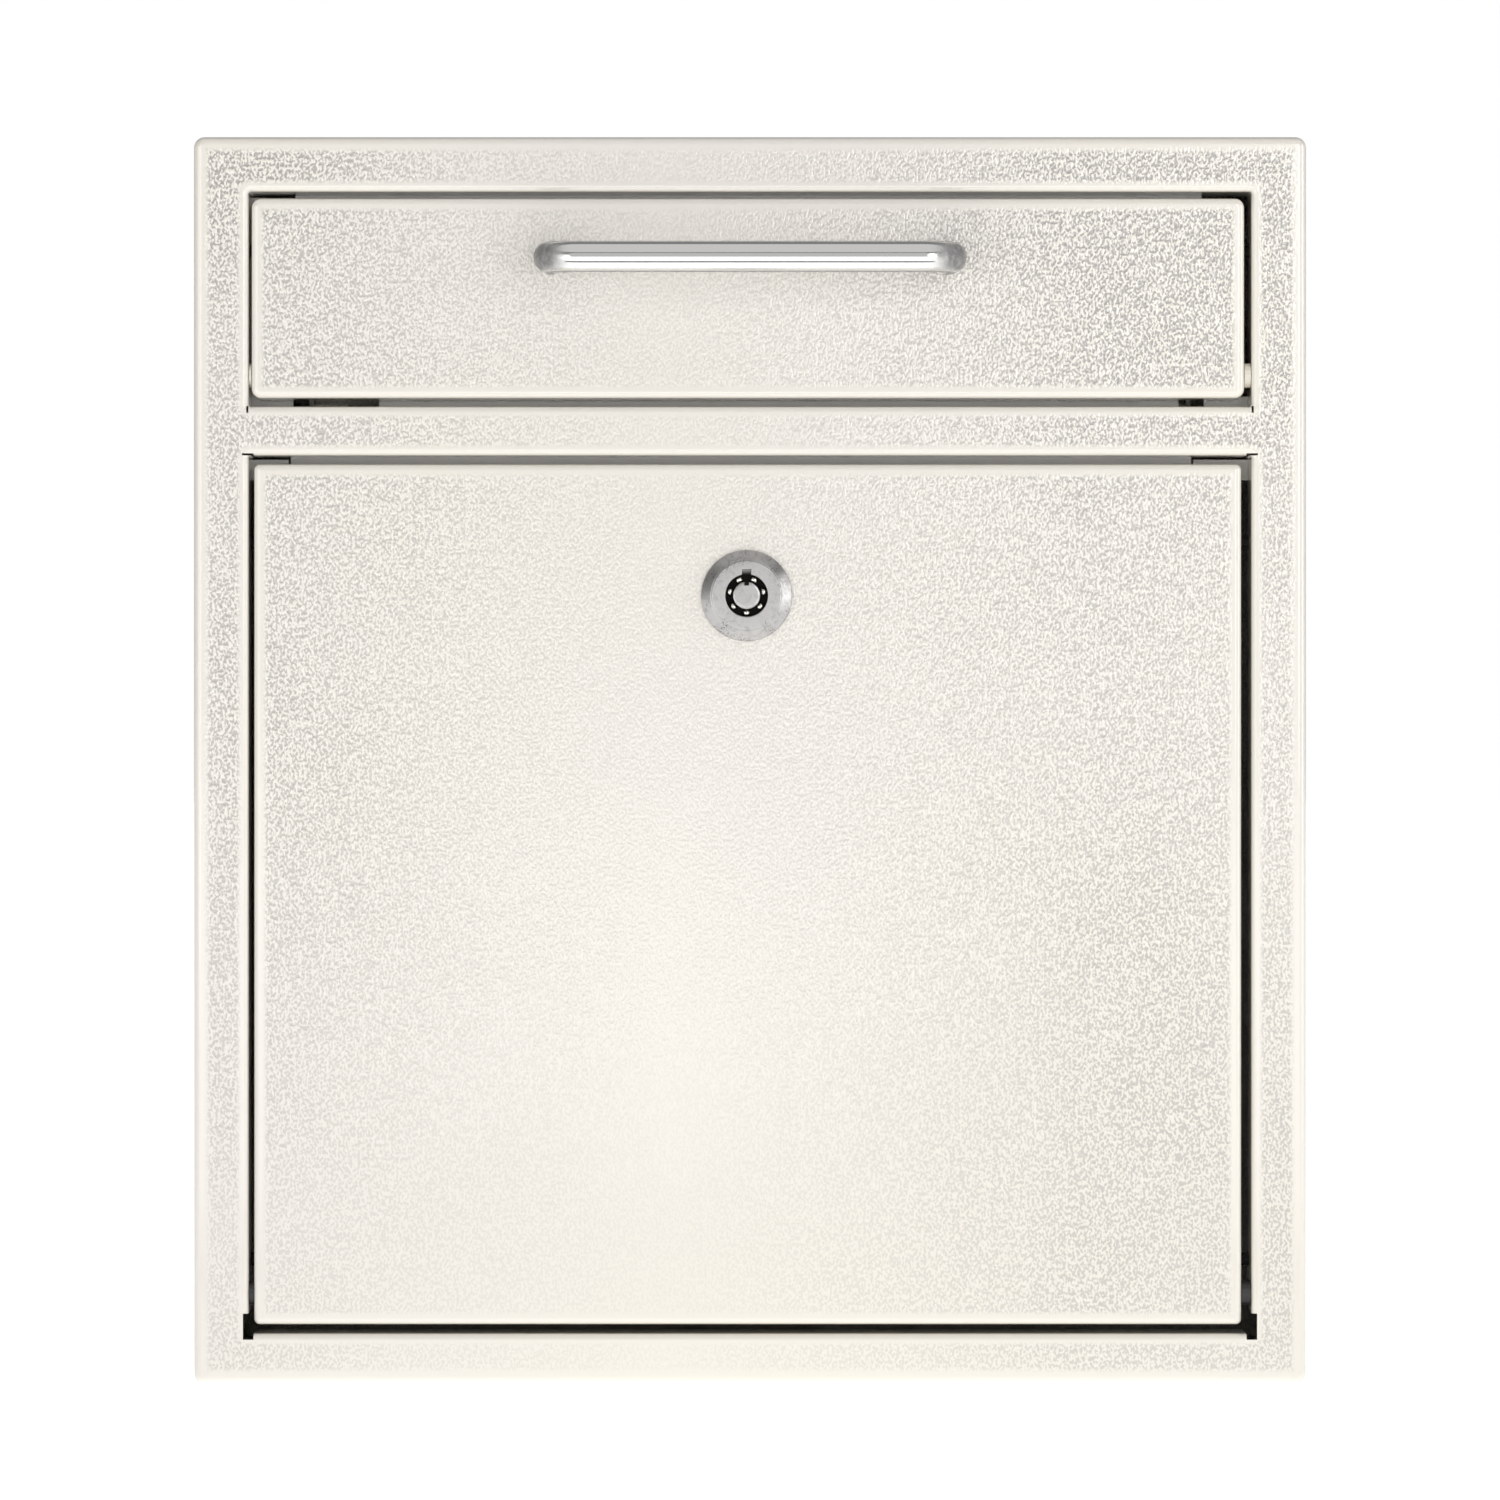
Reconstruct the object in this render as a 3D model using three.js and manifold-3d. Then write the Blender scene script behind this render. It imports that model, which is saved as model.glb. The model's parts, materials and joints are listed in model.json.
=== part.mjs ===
// A wall-mounted steel drop box: a folded sheet-metal cabinet with a pull-down deposit hopper
// above a locked door that swings down on two pins along its bottom edge.
// Millimetres, +Z up, the front faces -Y. The origin is the middle of the footprint, on the floor.
import * as THREE from "three";
import { mergeVertices } from "three/addons/utils/BufferGeometryUtils.js";
import Module from "manifold-3d";

const wasm = await Module();
wasm.setup();

// ---------------------------------------------------------------- driving dimensions

const BODY = { width: 264, height: 296, depth: 117 };
const SHEET = 1.2; // every folded part is 18 gauge steel
const HANDLE_REACH = 28; // how far the pull stands out of the front
const FRONT = HANDLE_REACH - (BODY.depth + HANDLE_REACH) / 2; // y of the front face
const HALF = BODY.width / 2;

// The front frame: widths of its members, and the two windows that they leave.
const STILE = 13;
const WINDOW_HALF = HALF - STILE;
const DOOR_WINDOW = { x0: -WINDOW_HALF, x1: WINDOW_HALF, z0: 12, z1: 220.4, r: 0.6 };
const HOPPER_WINDOW = { x0: -WINDOW_HALF, x1: WINDOW_HALF, z0: 232, z1: 283, r: 0.6 };
const WINDOW_FLANGE = 16; // depth of the folds round each window
// Behind the closed fronts the folds turn in again, as lips: over the door, and round the hopper.
const DOOR_LIPS = { left: -110.3, right: 106, top: 5.4 };
const HOPPER_LIPS = { left: -109.2, right: 108.5, top: 2.8, bottom: 3 };
const BUCKET_SLOTS = [[-109.2, -88.7], [102.5, 108.5]]; // where the bucket passes the bottom lip
const LIP_SEAM = 0.5; // air between one lip and the next
const NOTCH = { wide: 1.3, below: 1.4, above: 4.8 }; // at the foot of each stile
const SLIT = 0.5; // width of the cuts at the ends of the mid rail
const FRAME_RETURN = 8; // depth of the frame's outer fold, where it meets the wrap
const FRAME_EDGE = 2; // outside radius of the frame's outer fold
const WINDOW_EDGE = 1.5; // outside radius of the window folds

// The two moving fronts hang a little to the left in their windows.
const HOPPER_FACE = { x0: -118.3, x1: 117.3, z0: 234, z1: 281.4, r: 2.2 };
const DOOR_FACE = { x0: -117.7, x1: 116.6, z0: 14.2, z1: 218.3, r: 1.3 };
const FACE_FOLD = 10; // depth of the folds round both fronts
const FACE_EDGE = 1.6; // outside radius of those folds

// Pivot axes run along X; each is a depth behind the front face and a height.
const HOPPER_PIVOT = { y: 4, z: 239.5 };
const DOOR_PIVOT = { y: 4, z: 21.5 };
const PIN_RADIUS = 1.6;
const PIN_HOLE = 1.75;
const PIN_WASHER = 2.9;
const GAP = 0.1; // air left between pieces that lie face to face

// Rubber stops are pushed through the window folds. Four of them stand just behind the side folds
// of the closed fronts, and two meet the door's heel when it lies open.
const STOP_RADIUS = 1.5;
const STOP_CAP = { radius: 3, thick: 1.8 };
const CLOSED_STOP_Y = FACE_FOLD + GAP + STOP_RADIUS;
const HOPPER_STOP_Z = 269.5;
const DOOR_STOP_Z = 200;
const OPEN_STOP = { y: 11.8, z: 29.05 };

const WALL_HOLES = { xs: [-88, 88], zs: [45, 190], radius: 3.5 };
const BAFFLE = { top: 98, drop: 80, foot: 84.5, knee: 260, bottom: 255.5, clear: 3 };

const PULL = { spacing: 94.4, radius: 3.65, z: 266.9, bend: 6.5, droop: 1.2, tap: 2.1 };
const LOCK = { x: -0.8, z: 187.1 };

// ---------------------------------------------------------------- materials

const metal = (color, roughness) => new THREE.MeshStandardMaterial({ color, roughness, metalness: 1 });
const coat = (color, roughness) => new THREE.MeshStandardMaterial({ color, roughness, metalness: 0 });
const PAINT = coat(0xece7dc, 0.45);
const CHROME = metal(0xd8d8d6, 0.12);
const STEEL = metal(0xa9abad, 0.35);
const PIN_METAL = metal(0xc4c0b4, 0.25); // nickel silver
const RUBBER = coat(0x1c1c1c, 0.85);
const NYLON = coat(0xe4e0d4, 0.55);
const BLACK_NYLON = coat(0x202020, 0.5);

// ---------------------------------------------------------------- shape tools

// A closed three.js geometry as a solid that can be cut and joined.
function solid(geometry) {
  const bare = geometry.clone();
  bare.deleteAttribute("normal");
  bare.deleteAttribute("uv");
  const merged = mergeVertices(bare, 1e-4);
  const vertProperties = new Float32Array(merged.attributes.position.array);
  const triVerts = new Uint32Array(merged.index.array);
  return new wasm.Manifold(new wasm.Mesh({ numProp: 3, vertProperties, triVerts }));
}

// A solid back as a three.js geometry.
function geometryOf(shape) {
  const made = shape.getMesh();
  const geometry = new THREE.BufferGeometry();
  geometry.setAttribute("position", new THREE.BufferAttribute(new Float32Array(made.vertProperties), 3));
  geometry.setIndex(new THREE.BufferAttribute(new Uint32Array(made.triVerts), 1));
  geometry.computeVertexNormals();
  return geometry;
}

// One outline of a loft: a rectangle with round corners, grown or shrunk, at depth y.
function outline(box, grow, y) {
  const corners = [[box.x1, box.z1], [box.x0, box.z1], [box.x0, box.z0], [box.x1, box.z0]];
  const radius = Math.max(box.r + grow, 0.1);
  const steps = box.r < 1 ? 2 : 4;
  return corners.flatMap(([x, z], quarter) => {
    const inX = quarter === 0 || quarter === 3 ? 1 : -1;
    const inZ = quarter < 2 ? 1 : -1;
    const centre = [x + inX * (grow - radius), z + inZ * (grow - radius)];
    return Array.from({ length: steps + 1 }, (_, i) => {
      const angle = (quarter + i / steps) * (Math.PI / 2);
      return [centre[0] + radius * Math.cos(angle), y, centre[1] + radius * Math.sin(angle)];
    });
  });
}

// A solid lofted front to back through outlines of one box; each level is [depth, growth].
function loft(box, levels) {
  const rings = levels.map(([y, grow]) => outline(box, grow, y));
  const n = rings[0].length;
  const index = [];
  for (let level = 0; level < rings.length - 1; level++) {
    for (let i = 0; i < n; i++) {
      const [a, b] = [level * n + i, level * n + ((i + 1) % n)];
      index.push(a, a + n, b, b, a + n, b + n);
    }
  }
  const last = (rings.length - 1) * n;
  for (let i = 1; i < n - 1; i++) {
    index.push(0, i, i + 1);
    index.push(last, last + i + 1, last + i);
  }
  const geometry = new THREE.BufferGeometry();
  geometry.setAttribute("position", new THREE.Float32BufferAttribute(rings.flat(2), 3));
  geometry.setIndex(index);
  return solid(geometry);
}

// Levels of a rounded front edge, from the face at depth 0 back to depth radius.
function roundedEdge(radius, inset = 0, start = 0) {
  const steps = 3;
  return Array.from({ length: steps + 1 }, (_, i) => {
    const angle = (i / steps) * (Math.PI / 2);
    return [start + radius * (1 - Math.cos(angle)), radius * (Math.sin(angle) - 1) - inset];
  });
}

// A shallow tray of sheet metal: a face with its four edges folded back.
function pan(box, depth, edge) {
  const outer = loft(box, [...roundedEdge(edge), [depth, 0]]);
  const inner = loft(box, [...roundedEdge(edge - SHEET / 2, SHEET, SHEET), [depth + 1, -SHEET]]);
  return outer.subtract(inner);
}

// Turns a profile drawn in the XY plane so that it lies in YZ and runs along X from x0 to x1.
function alongX(shape, x0, x1) {
  const made = new THREE.ExtrudeGeometry(shape, { depth: x1 - x0, bevelEnabled: false });
  const turn = new THREE.Matrix4().makeBasis(
    new THREE.Vector3(0, 1, 0),
    new THREE.Vector3(0, 0, 1),
    new THREE.Vector3(1, 0, 0),
  );
  return solid(made.applyMatrix4(turn).translate(x0, 0, 0));
}

// A flat plate in a YZ plane, from x0 to x1.
function plate(points, x0, x1) {
  return alongX(new THREE.Shape(points.map(([y, z]) => new THREE.Vector2(y, z))), x0, x1);
}

// Sheet metal folded along a path in YZ, with mitred folds, from x0 to x1.
function foldedSheet(path, x0, x1) {
  const points = path.map(([y, z]) => new THREE.Vector2(y, z));
  const normals = points.slice(1).map((p, i) => {
    const along = p.clone().sub(points[i]).normalize();
    return new THREE.Vector2(-along.y, along.x);
  });
  const offset = points.map((_, i) => {
    const [before, after] = [normals[Math.max(i - 1, 0)], normals[Math.min(i, normals.length - 1)]];
    const mitre = before.clone().add(after).normalize();
    return mitre.multiplyScalar(SHEET / 2 / mitre.dot(after));
  });
  const upper = points.map((p, i) => p.clone().add(offset[i]));
  const lower = points.map((p, i) => p.clone().sub(offset[i]));
  return alongX(new THREE.Shape([...lower, ...upper.reverse()]), x0, x1);
}

// A round bar along X, and one along Y.
function barX(radius, x0, x1, y, z, segments = 16) {
  const made = new THREE.CylinderGeometry(radius, radius, Math.abs(x1 - x0), segments);
  return solid(made.rotateZ(Math.PI / 2).translate((x0 + x1) / 2, y, z));
}
function barY(radius, y0, y1, x, z, segments = 24) {
  const made = new THREE.CylinderGeometry(radius, radius, y1 - y0, segments);
  return solid(made.translate(x, (y0 + y1) / 2, z));
}

// A block between two corners.
function block(x0, x1, y0, y1, z0, z1) {
  const made = new THREE.BoxGeometry(x1 - x0, y1 - y0, z1 - z0);
  return solid(made.translate((x0 + x1) / 2, (y0 + y1) / 2, (z0 + z1) / 2));
}

// A turned part about the Y axis. The profile is [radius, y] points.
function turned(profile, segments = 36) {
  const points = profile.map(([radius, y]) => new THREE.Vector2(radius, y));
  return solid(new THREE.LatheGeometry(points, segments));
}

// A turned washer or ring about Y, from y0 to y1.
function ring(inner, outer, y0, y1, segments = 36) {
  return turned([[inner, y0], [outer, y0], [outer, y1], [inner, y1], [inner, y0]], segments);
}

const joined = (solids) => solids.reduce((a, b) => a.add(b));
const cut = (shape, tools) => tools.reduce((a, b) => a.subtract(b), shape);

function mesh(group, name, shape, material) {
  const made = new THREE.Mesh(geometryOf(shape), material);
  made.name = name;
  group.add(made);
  return made;
}

const SIDES = [{ name: "left", sign: -1 }, { name: "right", sign: 1 }];
const outerFace = (box, side) => (side.sign < 0 ? box.x0 : box.x1);

// ---------------------------------------------------------------- pins, washers and stops

// A rivet that a front turns on. It runs in through the window fold and the front's side fold.
function pivotPin(side, faceX) {
  const innerX = faceX - side.sign * SHEET;
  const length = WINDOW_HALF + SHEET + GAP - Math.abs(innerX);
  const head = { radius: 2.6, thick: 1.4 };
  const peen = { radius: 2.2, thick: 0.8 };
  const profile = [
    [0, -peen.thick - GAP], [peen.radius * 0.7, -peen.thick - GAP], [peen.radius, -peen.thick * 0.4 - GAP],
    [peen.radius, -GAP], [PIN_RADIUS, -GAP], [PIN_RADIUS, length],
    [head.radius, length], [head.radius, length + head.thick * 0.6],
    [head.radius * 0.7, length + head.thick], [0, length + head.thick],
  ];
  return turned(profile, 16).rotate([0, 0, -90 * side.sign]).translate([innerX, 0, 0]);
}

// A nylon washer that fills the gap between a front's side and the window.
function pivotWasher(side, faceX) {
  const [inner, outer] = [Math.abs(faceX) + GAP, WINDOW_HALF - GAP];
  const made = ring(PIN_HOLE, PIN_WASHER, inner, outer, 16);
  return made.rotate([0, 0, -90 * side.sign]);
}

// A rubber stop pushed through the window fold from behind. It reaches in past a front's side fold.
function rubberStop(side, faceX, y, z) {
  const inner = Math.abs(faceX) - SHEET - 0.4;
  const seat = WINDOW_HALF + SHEET + GAP;
  const profile = [
    [0, inner], [STOP_RADIUS - 0.3, inner], [STOP_RADIUS, inner + 0.3], [STOP_RADIUS, seat],
    [STOP_CAP.radius, seat], [STOP_CAP.radius, seat + STOP_CAP.thick], [0, seat + STOP_CAP.thick],
  ];
  return turned(profile, 14).rotate([0, 0, -90 * side.sign]).translate([0, y, z]);
}

// ---------------------------------------------------------------- cabinet

const bodyBox = { x0: -HALF, x1: HALF, z0: 0, z1: BODY.height, r: 2.5 };

// A window's folds, added behind the face, and the flared cut that rounds their front edge.
function windowFolds(window) {
  return loft(window, [[SHEET / 2, SHEET], [WINDOW_FLANGE, SHEET]]);
}
function windowCut(window) {
  const flare = roundedEdge(WINDOW_EDGE).map(([y, grow]) => [y, -grow]);
  return loft(window, [[-1, WINDOW_EDGE], ...flare, [WINDOW_FLANGE + 1, 0]]);
}

// Cuts where the folds of neighbouring members part at a window's corners: thin slits at the ends
// of the mid rail, and a notch at the foot of each stile.
function cornerReliefs(side) {
  const relief = (from, to, y0, z0, z1) => {
    const [a, b] = [side.sign * (WINDOW_HALF + from), side.sign * (WINDOW_HALF + to)];
    return block(Math.min(a, b), Math.max(a, b), y0, WINDOW_FLANGE + 1, z0, z1);
  };
  return [
    relief(0, SLIT, -1, HOPPER_WINDOW.z0 - WINDOW_EDGE, HOPPER_WINDOW.z0 + GAP),
    relief(-1, WINDOW_EDGE, -1, DOOR_WINDOW.z1, DOOR_WINDOW.z1 + SLIT),
    relief(-1, NOTCH.wide, -1, DOOR_WINDOW.z0 - NOTCH.below, DOOR_WINDOW.z0 + NOTCH.above),
  ];
}

// The lips: strips over the door and over and under the hopper, one down the hopper's left side,
// and short tabs in the other corners.
function lips() {
  const weld = SHEET / 2; // how far a lip reaches into the fold that carries it
  const lip = (x0, x1, z0, z1) => block(x0, x1, WINDOW_FLANGE - SHEET, WINDOW_FLANGE, z0, z1);
  const left = (edges, z0, z1) => lip(-WINDOW_HALF - weld, edges.left, z0, z1);
  const right = (edges, z0, z1) => lip(edges.right, WINDOW_HALF + weld, z0, z1);
  const across = (edges, z0, z1) => lip(edges.left + LIP_SEAM, edges.right - LIP_SEAM, z0, z1);
  const doorTop = [DOOR_WINDOW.z1 - DOOR_LIPS.top, DOOR_WINDOW.z1 - LIP_SEAM];
  const hopperFoot = HOPPER_WINDOW.z0 + HOPPER_LIPS.bottom;
  const [[, slotLeft], [slotRight]] = BUCKET_SLOTS;
  return [
    left(DOOR_LIPS, ...doorTop),
    right(DOOR_LIPS, ...doorTop),
    across(DOOR_LIPS, DOOR_WINDOW.z1 - DOOR_LIPS.top, DOOR_WINDOW.z1 + weld),
    left(HOPPER_LIPS, HOPPER_WINDOW.z0 + LIP_SEAM, HOPPER_WINDOW.z1 - LIP_SEAM),
    right(HOPPER_LIPS, HOPPER_WINDOW.z0 + LIP_SEAM, hopperFoot),
    across(HOPPER_LIPS, HOPPER_WINDOW.z1 - HOPPER_LIPS.top, HOPPER_WINDOW.z1 + weld),
    lip(slotLeft, slotRight, HOPPER_WINDOW.z0 - weld, hopperFoot),
  ];
}

function frontFrame() {
  const face = pan(bodyBox, FRAME_RETURN, FRAME_EDGE);
  const folded = joined([face, windowFolds(DOOR_WINDOW), windowFolds(HOPPER_WINDOW)]);
  const holes = SIDES.flatMap((side) => {
    const hole = (radius, y, z) => {
      return barX(radius, side.sign * (WINDOW_HALF - 1), side.sign * (WINDOW_HALF + 3), y, z);
    };
    const stopHole = (y, z) => hole(STOP_RADIUS + 0.15, y, z);
    return [
      hole(PIN_HOLE, HOPPER_PIVOT.y, HOPPER_PIVOT.z),
      hole(PIN_HOLE, DOOR_PIVOT.y, DOOR_PIVOT.z),
      stopHole(CLOSED_STOP_Y, HOPPER_STOP_Z),
      stopHole(CLOSED_STOP_Y, DOOR_STOP_Z),
      stopHole(OPEN_STOP.y, OPEN_STOP.z),
    ];
  });
  const opened = cut(folded, [windowCut(DOOR_WINDOW), windowCut(HOPPER_WINDOW)]);
  const whole = joined([opened, ...lips()]);
  return cut(whole, [...SIDES.flatMap(cornerReliefs), ...holes]);
}

// The sides, top and bottom in one strip. Its front edge steps in behind the frame's outer fold.
function bodyWrap() {
  const walls = loft(bodyBox, [[FRAME_RETURN + GAP, 0], [BODY.depth, 0]]);
  const inside = loft(bodyBox, [[-1, -SHEET], [BODY.depth + 1, -SHEET]]);
  const step = -SHEET - GAP; // how far the tongue steps in
  const lap = -0.75 * SHEET; // how far in it is welded to the walls
  const [start, end] = [3, 14];
  const tongue = loft(bodyBox, [[start, step], [FRAME_RETURN, step], [FRAME_RETURN + 0.4, lap], [end, lap]]);
  const tongueInside = loft(bodyBox, [[-1, step - 1], [BODY.depth + 1, step - 1]]);
  return joined([walls.subtract(inside), tongue.subtract(tongueInside)]);
}

// The back, folded forward all round inside the wrap, with four holes for wall screws.
function backPanel() {
  const inset = -SHEET - 0.15;
  const fold = 12;
  const rear = BODY.depth;
  const outer = loft(bodyBox, [
    [rear - fold, inset], [rear - 0.8, inset], [rear - 0.25, inset - 0.25], [rear, inset - 0.8],
  ]);
  const inner = loft(bodyBox, [[rear - fold - 1, inset - SHEET], [rear - SHEET, inset - SHEET]]);
  const holes = WALL_HOLES.xs.flatMap((x) => {
    return WALL_HOLES.zs.map((z) => barY(WALL_HOLES.radius, rear - fold, rear + 1, x, z));
  });
  return cut(outer, [inner, ...holes]);
}

// A fixed shield behind the hopper, so that nothing can be fished out past the open tray.
function securityBaffle() {
  const top = BODY.height - SHEET - GAP - SHEET / 2;
  const path = [
    [BAFFLE.top, top], [BAFFLE.drop, top], [BAFFLE.drop, BAFFLE.knee], [BAFFLE.foot, BAFFLE.bottom],
  ];
  return foldedSheet(path, -HALF + BAFFLE.clear, HALF - BAFFLE.clear);
}

const cabinet = new THREE.Group();
cabinet.position.y = FRONT;
mesh(cabinet, "front_frame", frontFrame(), PAINT);
mesh(cabinet, "body_wrap", bodyWrap(), PAINT);
mesh(cabinet, "back_panel", backPanel(), PAINT);
mesh(cabinet, "security_baffle", securityBaffle(), PAINT);

// ---------------------------------------------------------------- hopper

const CHEEK_X = 104.4; // inner face of the bucket's side plates
const trayPath = [[-2.1, 19], [-2.1, 9], [61.5, -36.5], [58, -41.4]];

const hopper = new THREE.Group();
hopper.position.set(0, FRONT + HOPPER_PIVOT.y, HOPPER_PIVOT.z);
const toHopper = (shape) => shape.translate([0, -HOPPER_PIVOT.y, -HOPPER_PIVOT.z]);

function hopperPanel() {
  const holes = [
    barX(PIN_HOLE, -HALF, HALF, HOPPER_PIVOT.y, HOPPER_PIVOT.z),
    ...SIDES.map((side) => barY(PULL.tap + 0.2, -1, 5, (side.sign * PULL.spacing) / 2, PULL.z)),
  ];
  return toHopper(cut(pan(HOPPER_FACE, FACE_FOLD, FACE_EDGE), holes));
}

// A side plate of the bucket: one fold lies on the panel's back, another carries the tray.
function hopperCheek(side) {
  const [foot, top] = [-3.4, 36];
  const back = SHEET - HOPPER_PIVOT.y; // the panel's back, seen from the pivot
  const seatDepth = back + 0.15;
  const profile = [
    [seatDepth + SHEET, foot], [12.6, foot], [16, -8], [59, -42], [62.5, -36.2], [60, 4], [37, 15.5],
    [7, top], [seatDepth + SHEET, top],
  ];
  const span = (from, to) => [side.sign * from, side.sign * to].sort((a, b) => a - b);
  const wall = span(CHEEK_X, CHEEK_X + SHEET);
  const seat = block(...span(CHEEK_X + SHEET / 2, CHEEK_X + 8), seatDepth, seatDepth + SHEET, foot, top);
  const corner = block(...wall, seatDepth, seatDepth + SHEET + 0.5, foot, top);
  const drop = 2 * SHEET + GAP; // from the tray's middle to the middle of the fold under it
  const slope = (trayPath[2][1] - trayPath[1][1]) / (trayPath[2][0] - trayPath[1][0]);
  const under = (y) => [y, trayPath[1][1] + slope * (y - trayPath[1][0]) - drop];
  const ledge = foldedSheet([under(16), under(56)], ...span(CHEEK_X - 8, CHEEK_X + SHEET / 2));
  return joined([plate(profile, ...wall), seat, corner, ledge]);
}

// The wire pull: two legs out of the face, two bends and the bar between them.
class PullCurve extends THREE.Curve {
  constructor() {
    super();
    this.leg = HANDLE_REACH - PULL.radius - PULL.bend + 1; // 1 mm of it is trimmed off at the face
    this.arc = (PULL.bend * Math.PI) / 2;
    this.bar = PULL.spacing - 2 * PULL.bend;
    this.total = 2 * (this.leg + this.arc) + this.bar;
  }
  getPoint(t, target = new THREE.Vector3()) {
    const half = this.total / 2;
    const along = Math.abs(t * this.total - half); // distance from the middle of the bar
    const side = t * this.total < half ? -1 : 1;
    const front = PULL.radius - HANDLE_REACH;
    if (along <= this.bar / 2) return target.set(side * along, front, 0);
    const turn = Math.min((along - this.bar / 2) / PULL.bend, Math.PI / 2);
    const x = this.bar / 2 + PULL.bend * Math.sin(turn);
    const back = Math.max(along - this.bar / 2 - this.arc, 0);
    return target.set(side * x, front + PULL.bend * (1 - Math.cos(turn)) + back, 0);
  }
}

// The bar hangs a little lower than the legs' feet, so the rod is sheared by that much.
function pull() {
  const section = new THREE.Shape().absarc(0, 0, PULL.radius, 0, 2 * Math.PI);
  const options = { steps: 40, curveSegments: 8, extrudePath: new PullCurve() };
  const rod = new THREE.ExtrudeGeometry(section, options);
  const slope = PULL.droop / HANDLE_REACH;
  rod.applyMatrix4(new THREE.Matrix4().set(1, 0, 0, 0, 0, 1, 0, 0, 0, slope, 1, 0, 0, 0, 0, 1));
  const taps = SIDES.map((side) => barY(PULL.tap, -12, 1, (side.sign * PULL.spacing) / 2, 0));
  return cut(solid(rod), [...taps, block(-HALF, HALF, -GAP / 2, 5, -10, 10)]);
}

// A pan-head screw along Y, head at the back, with a cross recess.
function panScrew(shank, head, length) {
  const profile = [
    [0, -length], [shank - 0.4, -length], [shank, -length + 0.5], [shank, 0],
    [head, 0], [head, 1.4], [head - 0.7, 2.3], [0, 2.6],
  ];
  const recess = [block(-0.5, 0.5, 1, 4, -2, 2), block(-2, 2, 1, 4, -0.5, 0.5)];
  return cut(turned(profile, 16), recess);
}

mesh(hopper, "hopper_panel", hopperPanel(), PAINT);
mesh(hopper, "hopper_tray", foldedSheet(trayPath, 0.2 - CHEEK_X, CHEEK_X - 0.2), PAINT);
const handle = mesh(hopper, "handle", pull(), CHROME);
handle.position.set(0, -HOPPER_PIVOT.y, PULL.z - HOPPER_PIVOT.z);

const HANDLE_WASHER = 0.8;
for (const side of SIDES) {
  const x = (side.sign * PULL.spacing) / 2;
  const seat = SHEET + GAP - HOPPER_PIVOT.y;
  mesh(hopper, `hopper_cheek_${side.name}`, hopperCheek(side), PAINT);
  const flat = ring(PULL.tap + 0.1, 4.5, 0, HANDLE_WASHER, 16);
  const washer = mesh(hopper, `handle_washer_${side.name}`, flat, STEEL);
  washer.position.set(x, seat, PULL.z - HOPPER_PIVOT.z);
  const screw = mesh(hopper, `handle_screw_${side.name}`, panScrew(1.95, 3.9, 11), STEEL);
  screw.position.set(x, seat + HANDLE_WASHER + GAP, PULL.z - HOPPER_PIVOT.z);
  const face = outerFace(HOPPER_FACE, side);
  mesh(hopper, `hopper_pivot_washer_${side.name}`, pivotWasher(side, face), NYLON);
  const pin = mesh(cabinet, `hopper_pivot_pin_${side.name}`, pivotPin(side, face), STEEL);
  pin.position.set(0, HOPPER_PIVOT.y, HOPPER_PIVOT.z);
  mesh(cabinet, `hopper_stop_${side.name}`, rubberStop(side, face, CLOSED_STOP_Y, HOPPER_STOP_Z), RUBBER);
}

// ---------------------------------------------------------------- door

const BARREL = 9.3; // radius of the lock's threaded barrel

const door = new THREE.Group();
door.position.set(0, FRONT + DOOR_PIVOT.y, DOOR_PIVOT.z);
const toDoor = (shape) => shape.translate([0, -DOOR_PIVOT.y, -DOOR_PIVOT.z]);

function doorPanel() {
  const holes = [
    barX(PIN_HOLE, -HALF, HALF, DOOR_PIVOT.y, DOOR_PIVOT.z),
    barY(BARREL + 0.2, -1, 5, LOCK.x, LOCK.z, 36),
  ];
  return toDoor(cut(pan(DOOR_FACE, FACE_FOLD, FACE_EDGE), holes));
}

mesh(door, "door_panel", doorPanel(), PAINT);
for (const side of SIDES) {
  const face = outerFace(DOOR_FACE, side);
  mesh(door, `door_hinge_washer_${side.name}`, pivotWasher(side, face), BLACK_NYLON);
  const pin = mesh(cabinet, `door_hinge_pin_${side.name}`, pivotPin(side, face), STEEL);
  pin.position.set(0, DOOR_PIVOT.y, DOOR_PIVOT.z);
  mesh(cabinet, `door_stop_${side.name}`, rubberStop(side, face, CLOSED_STOP_Y, DOOR_STOP_Z), RUBBER);
  mesh(cabinet, `door_open_stop_${side.name}`, rubberStop(side, face, OPEN_STOP.y, OPEN_STOP.z), RUBBER);
}

// ---------------------------------------------------------------- lock

const BEZEL = { radius: 10.8, face: 8.1, front: -3 };
const KEYWAY = { outer: 5.02, post: 3.25, floor: 3.4 };
const PLUG = { bore: 6.25, radius: 6.1 };
const BARREL_END = 15.6;
const STOP_WASHER = { y0: 15.85, y1: 16.55, radius: 7.4, lug: 9, half: 1.5 };
const CAM = { y0: 16.7, y1: 18.3, reach: 38, half: 6, hub: 8 };
const TAIL = { radius: 2.9, end: 23 };
const DRIVE = 3.2; // half the width of the square that the cam sits on
const DRIVE_HOLE = DRIVE + 0.12;
const PIN = { circle: 4.12, count: 7, radius: 0.78, bore: 0.9, head: -1.7, seat: 3.6, depth: 6 };

const lock = new THREE.Group();
lock.position.set(LOCK.x, -DOOR_PIVOT.y, LOCK.z - DOOR_PIVOT.z);
door.add(lock);

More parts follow.
